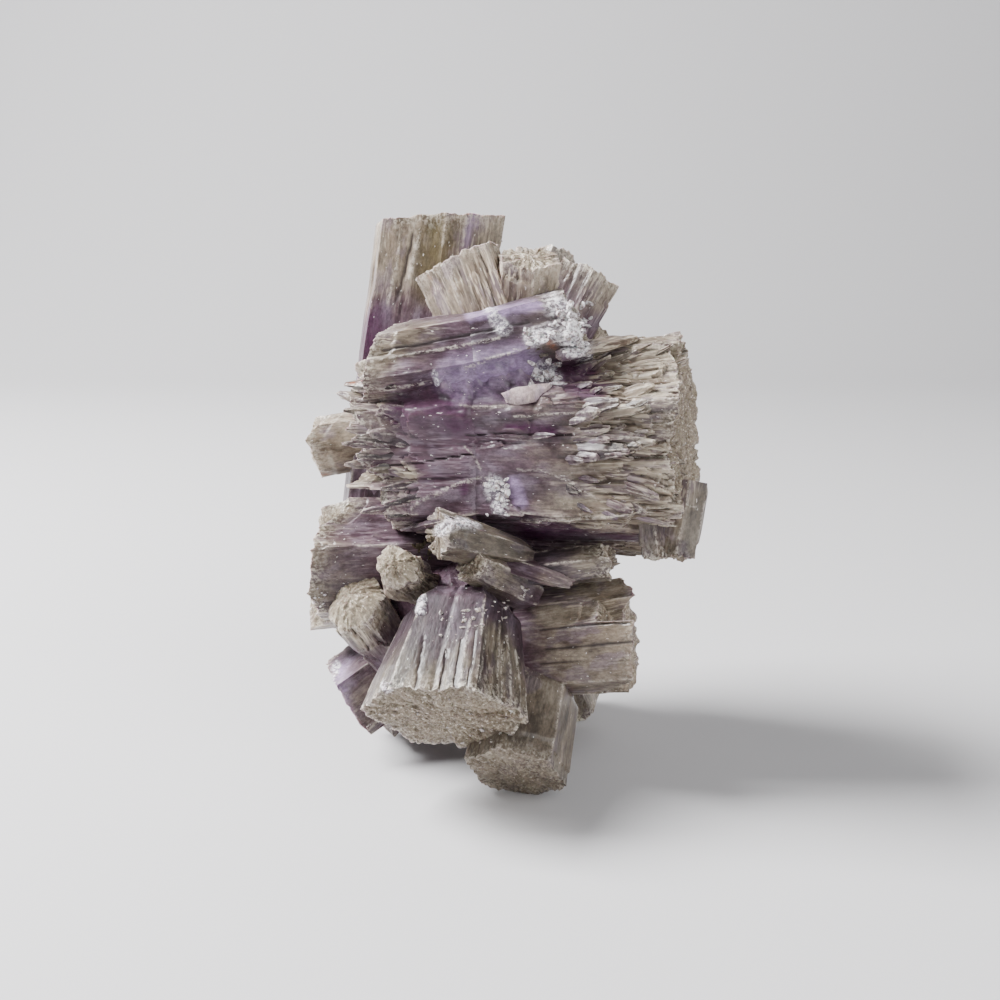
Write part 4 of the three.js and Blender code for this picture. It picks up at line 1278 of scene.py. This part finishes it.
def chip(middle, size, stretch, seed, shares):
    """A convex chip: radius in a direction is the least plane distance over its cosine."""
    polar = np.pi * (np.arange(CHIP_ROWS) + 1) / (CHIP_ROWS + 1)
    turn = 2 * np.pi * np.arange(CHIP_COLUMNS) / CHIP_COLUMNS
    way = np.concatenate([ways(polar[:, None], turn).reshape(-1, 3), [[0, 0, 1], [0, 0, -1]]])
    each = np.arange(CHIP_PLANES)
    planes = ways(np.arccos(2 * hashed(each, 1, seed) - 1), 2 * np.pi * hashed(each, 2, seed))
    planes = np.vstack([planes, -planes[:CHIP_PLANES // 2]])
    reach = between(CHIP_REACH, hashed(np.arange(len(planes)), 3, seed))
    cosine = way @ planes.T
    out = np.where(cosine > LEAST_COSINE, reach / np.maximum(cosine, LEAST_COSINE), FAR).min(axis=1)
    points = middle + size * np.minimum(out, FURTHEST_REACH)[:, None] * way * np.array(stretch)
    points[:, 2] = np.maximum(points[:, 2], GROUND)
    grid = points[:-2].reshape(CHIP_ROWS, CHIP_COLUMNS, 3)[::-1]
    facts = {name: np.full(grid.shape[:2], shares.get(name, 0.0)) for name in NUMBERS}
    facts["zone"] += CHIP_ZONE
    facts["own"] = grid - middle + seed
    return grid, points[[-1, -2]], facts


print("a chip has", 2 * CHIP_ROWS * CHIP_COLUMNS, "triangles")

# %% [markdown]
# Chips sit on the first surface that the camera sees near their pixel, half sunk into it. To
# find it, all mesh points so far are sorted from far to near and written into a table of pixels,
# so the nearest one stays. A row gives a middle and a spread in pixels, how many chips there are,
# their size in millimetres and what they are made of. One bigger flake is stuck by itself.

# %% Chips and grains
visible = np.vstack(surface_points)
visible = visible[np.argsort(-((visible - VIEW_FROM) @ VIEW_AXIS))]
nearest_point = np.full((int(2 * MIDDLE_PX), int(2 * MIDDLE_PX)), -1)
cells = np.clip(seen_at(visible).astype(int), 0, len(nearest_point) - 1)
nearest_point[cells[:, 0], cells[:, 1]] = np.arange(len(visible))


def first_surface(pixel):
    """The mesh point nearest the camera in the pixels round this one, or nothing."""
    x, y = int(pixel[0]), int(pixel[1])
    nearest = nearest_point[x - 1:x + 2, y - 1:y + 2].max()
    return visible[nearest] if nearest >= 0 else None


CHALK = {"bruise": 0.8}
PALE = {"crest": 0.8, "bruise": 0.3}
PINK = {"lavender": 0.4, "pale": 1.4, "smooth": 1.0, "crest": 0.25}
CLAY = {"olive": 1.0, "crack": 0.35}
DARK = {"crack": 0.9}
SCATTER = [
    ((464, 622), (24, 13), 16, 0.5, PALE), ((502, 611), (9, 10), 10, 0.4, PALE),
    ((548, 376), (17, 14), 18, 0.95, CHALK), ((536, 338), (10, 8), 14, 0.75, CHALK),
    ((572, 318), (20, 16), 34, 0.9, CHALK), ((577, 345), (12, 10), 18, 0.9, CHALK),
    ((497, 497), (11, 19), 30, 0.6, CHALK), ((421, 549), (11, 11), 30, 0.5, CLAY),
    ((536, 353), (8, 5), 8, 0.5, DARK), ((456, 527), (22, 6), 12, 0.35, CHALK),
    ((525, 590), (9, 7), 5, 0.45, PALE), ((422, 602), (5, 8), 6, 0.3, CHALK),
    ((385, 686), (6, 5), 6, 0.3, CHALK), ((340, 560), (22, 40), 14, 0.16, PALE),
    ((318, 600), (8, 12), 10, 0.3, CHALK), ((450, 575), (25, 18), 10, 0.14, CHALK),
    ((440, 720), (75, 25), 50, 0.28, PALE), ((600, 640), (40, 45), 24, 0.16, PALE),
    ((620, 400), (60, 60), 30, 0.2, PALE), ((450, 430), (100, 90), 16, 0.12, CHALK),
    ((480, 260), (90, 30), 16, 0.14, PALE), ((330, 655), (10, 14), 10, 0.4, PALE),
    ((455, 650), (60, 40), 24, 0.16, PALE),
]
CHIP_SIZE, CHIP_SPREAD = 0.75, (0.45, 1.2)
CHIP_STRETCH = ((0.7, 1.4), (0.4, 0.9), (0.4, 1.0))
PLACE_SEED, CHIP_SEED, GROUP_SEED = 3000, 5000, 97
FLAKE_AT, FLAKE_OFFSET, FLAKE_SIZE, FLAKE_SEED = (526, 396), np.array([0.0, -0.8, 0.1]), 2.6, 7003
FLAKE_STRETCH = (1.05, 0.35, 0.5)
chips = []
for group, (middle, spread, count, size, shares) in enumerate(SCATTER):
    for k in range(count):
        a, b, c, *shape = hashed(k, np.arange(6), PLACE_SEED + group)
        place = first_surface(np.array(middle) + np.array(spread) * (2 * np.array([a, b]) - 1))
        if place is not None:
            grain = CHIP_SIZE * size * between(CHIP_SPREAD, c * c)
            stretch = [between(limits, share) for limits, share in zip(CHIP_STRETCH, shape)]
            chips.append(chip(place, grain, stretch, CHIP_SEED + GROUP_SEED * group + k, shares))
flake = first_surface(FLAKE_AT) + FLAKE_OFFSET
chips.append(chip(flake, FLAKE_SIZE, FLAKE_STRETCH, FLAKE_SEED, PINK))
make_piece("chips_and_grains", chips, crystal_stone, smooth=False)

# %% [markdown]
# The group stands on matt paper that curves up into a wall. A window behind it on the left gives
# the bright edges, and a larger, weaker light from the front right opens the shadows.

# %% Stage
CURVE_STEPS = 24
BEND, BEND_FROM, HALF_WIDTH = 160.0, 300.0, 900.0
NEAR_EDGE, WALL_TOP = -420.0, 900.0
PAPER, PAPER_ROUGHNESS = "#c2c1c3", 0.7
ROOM_TINT, ROOM_STRENGTH = (0.8, 0.82, 0.85, 1), 0.13
AIM = np.array([0.0, 0.0, 30.0])


def stage_material(name, colour, roughness):
    """A plain matt finish for the table."""
    n = Nodes(name)
    shader = n.add("ShaderNodeBsdfPrincipled", None, Base_Color=linear(colour), Roughness=roughness)
    n.add("ShaderNodeOutputMaterial", None, Surface=shader.outputs[0])
    return n.material


def sweep():
    """A floor that curves up into a wall: a profile along y, the same at each x."""
    turn = np.linspace(0, np.pi / 2, CURVE_STEPS)
    y = np.concatenate([[NEAR_EDGE, 0.0], BEND_FROM + BEND * np.sin(turn), [BEND_FROM + BEND]])
    z = np.concatenate([[0.0, 0.0], BEND * (1 - np.cos(turn)), [WALL_TOP]])
    edges = [np.stack([np.full(len(y), x), y, z], -1) for x in (-HALF_WIDTH, HALF_WIDTH)]
    k = np.arange(len(y) - 1)
    faces = np.stack([k, k + len(y), k + len(y) + 1, k + 1], -1)
    mesh = bpy.data.meshes.new("pale_floor")
    mesh.from_pydata((np.vstack(edges) * MM).tolist(), [], faces.tolist())
    mesh.polygons.foreach_set("use_smooth", np.ones(len(faces), bool))
    floor = bpy.data.objects.new("pale_floor", mesh)
    bpy.context.scene.collection.objects.link(floor)
    mesh.materials.append(stage_material("matt_paper", PAPER, PAPER_ROUGHNESS))


def soft_light(name, where, size, watts):
    """A square area light at a place in millimetres, turned towards the group."""
    data = bpy.data.lights.new(name, "AREA")
    data.shape, data.size, data.energy = "SQUARE", size * MM, watts
    light = bpy.data.objects.new(name, data)
    bpy.context.scene.collection.objects.link(light)
    light.location = np.array(where) * MM
    x, y, z = AIM - np.array(where, float)
    light.rotation_euler = (np.arctan2(np.hypot(x, y), -z), 0.0, np.arctan2(-x, y))


sweep()
soft_light("window_light", (-300, 40, 340), 220, 9.5)
soft_light("room_light", (260, -340, 260), 420, 2.6)
world = bpy.data.worlds.new("pale_room")
world.use_nodes = True
background = world.node_tree.nodes["Background"].inputs
background["Color"].default_value = ROOM_TINT
background["Strength"].default_value = ROOM_STRENGTH
bpy.context.scene.world = world
print("stage: paper, two lights and a pale room")

# %% [markdown]
# At the end the triangles of all the pieces are added up.

# %% Count the triangles and finish
print("all pieces:", sum(triangle_counts.values()), "triangles")
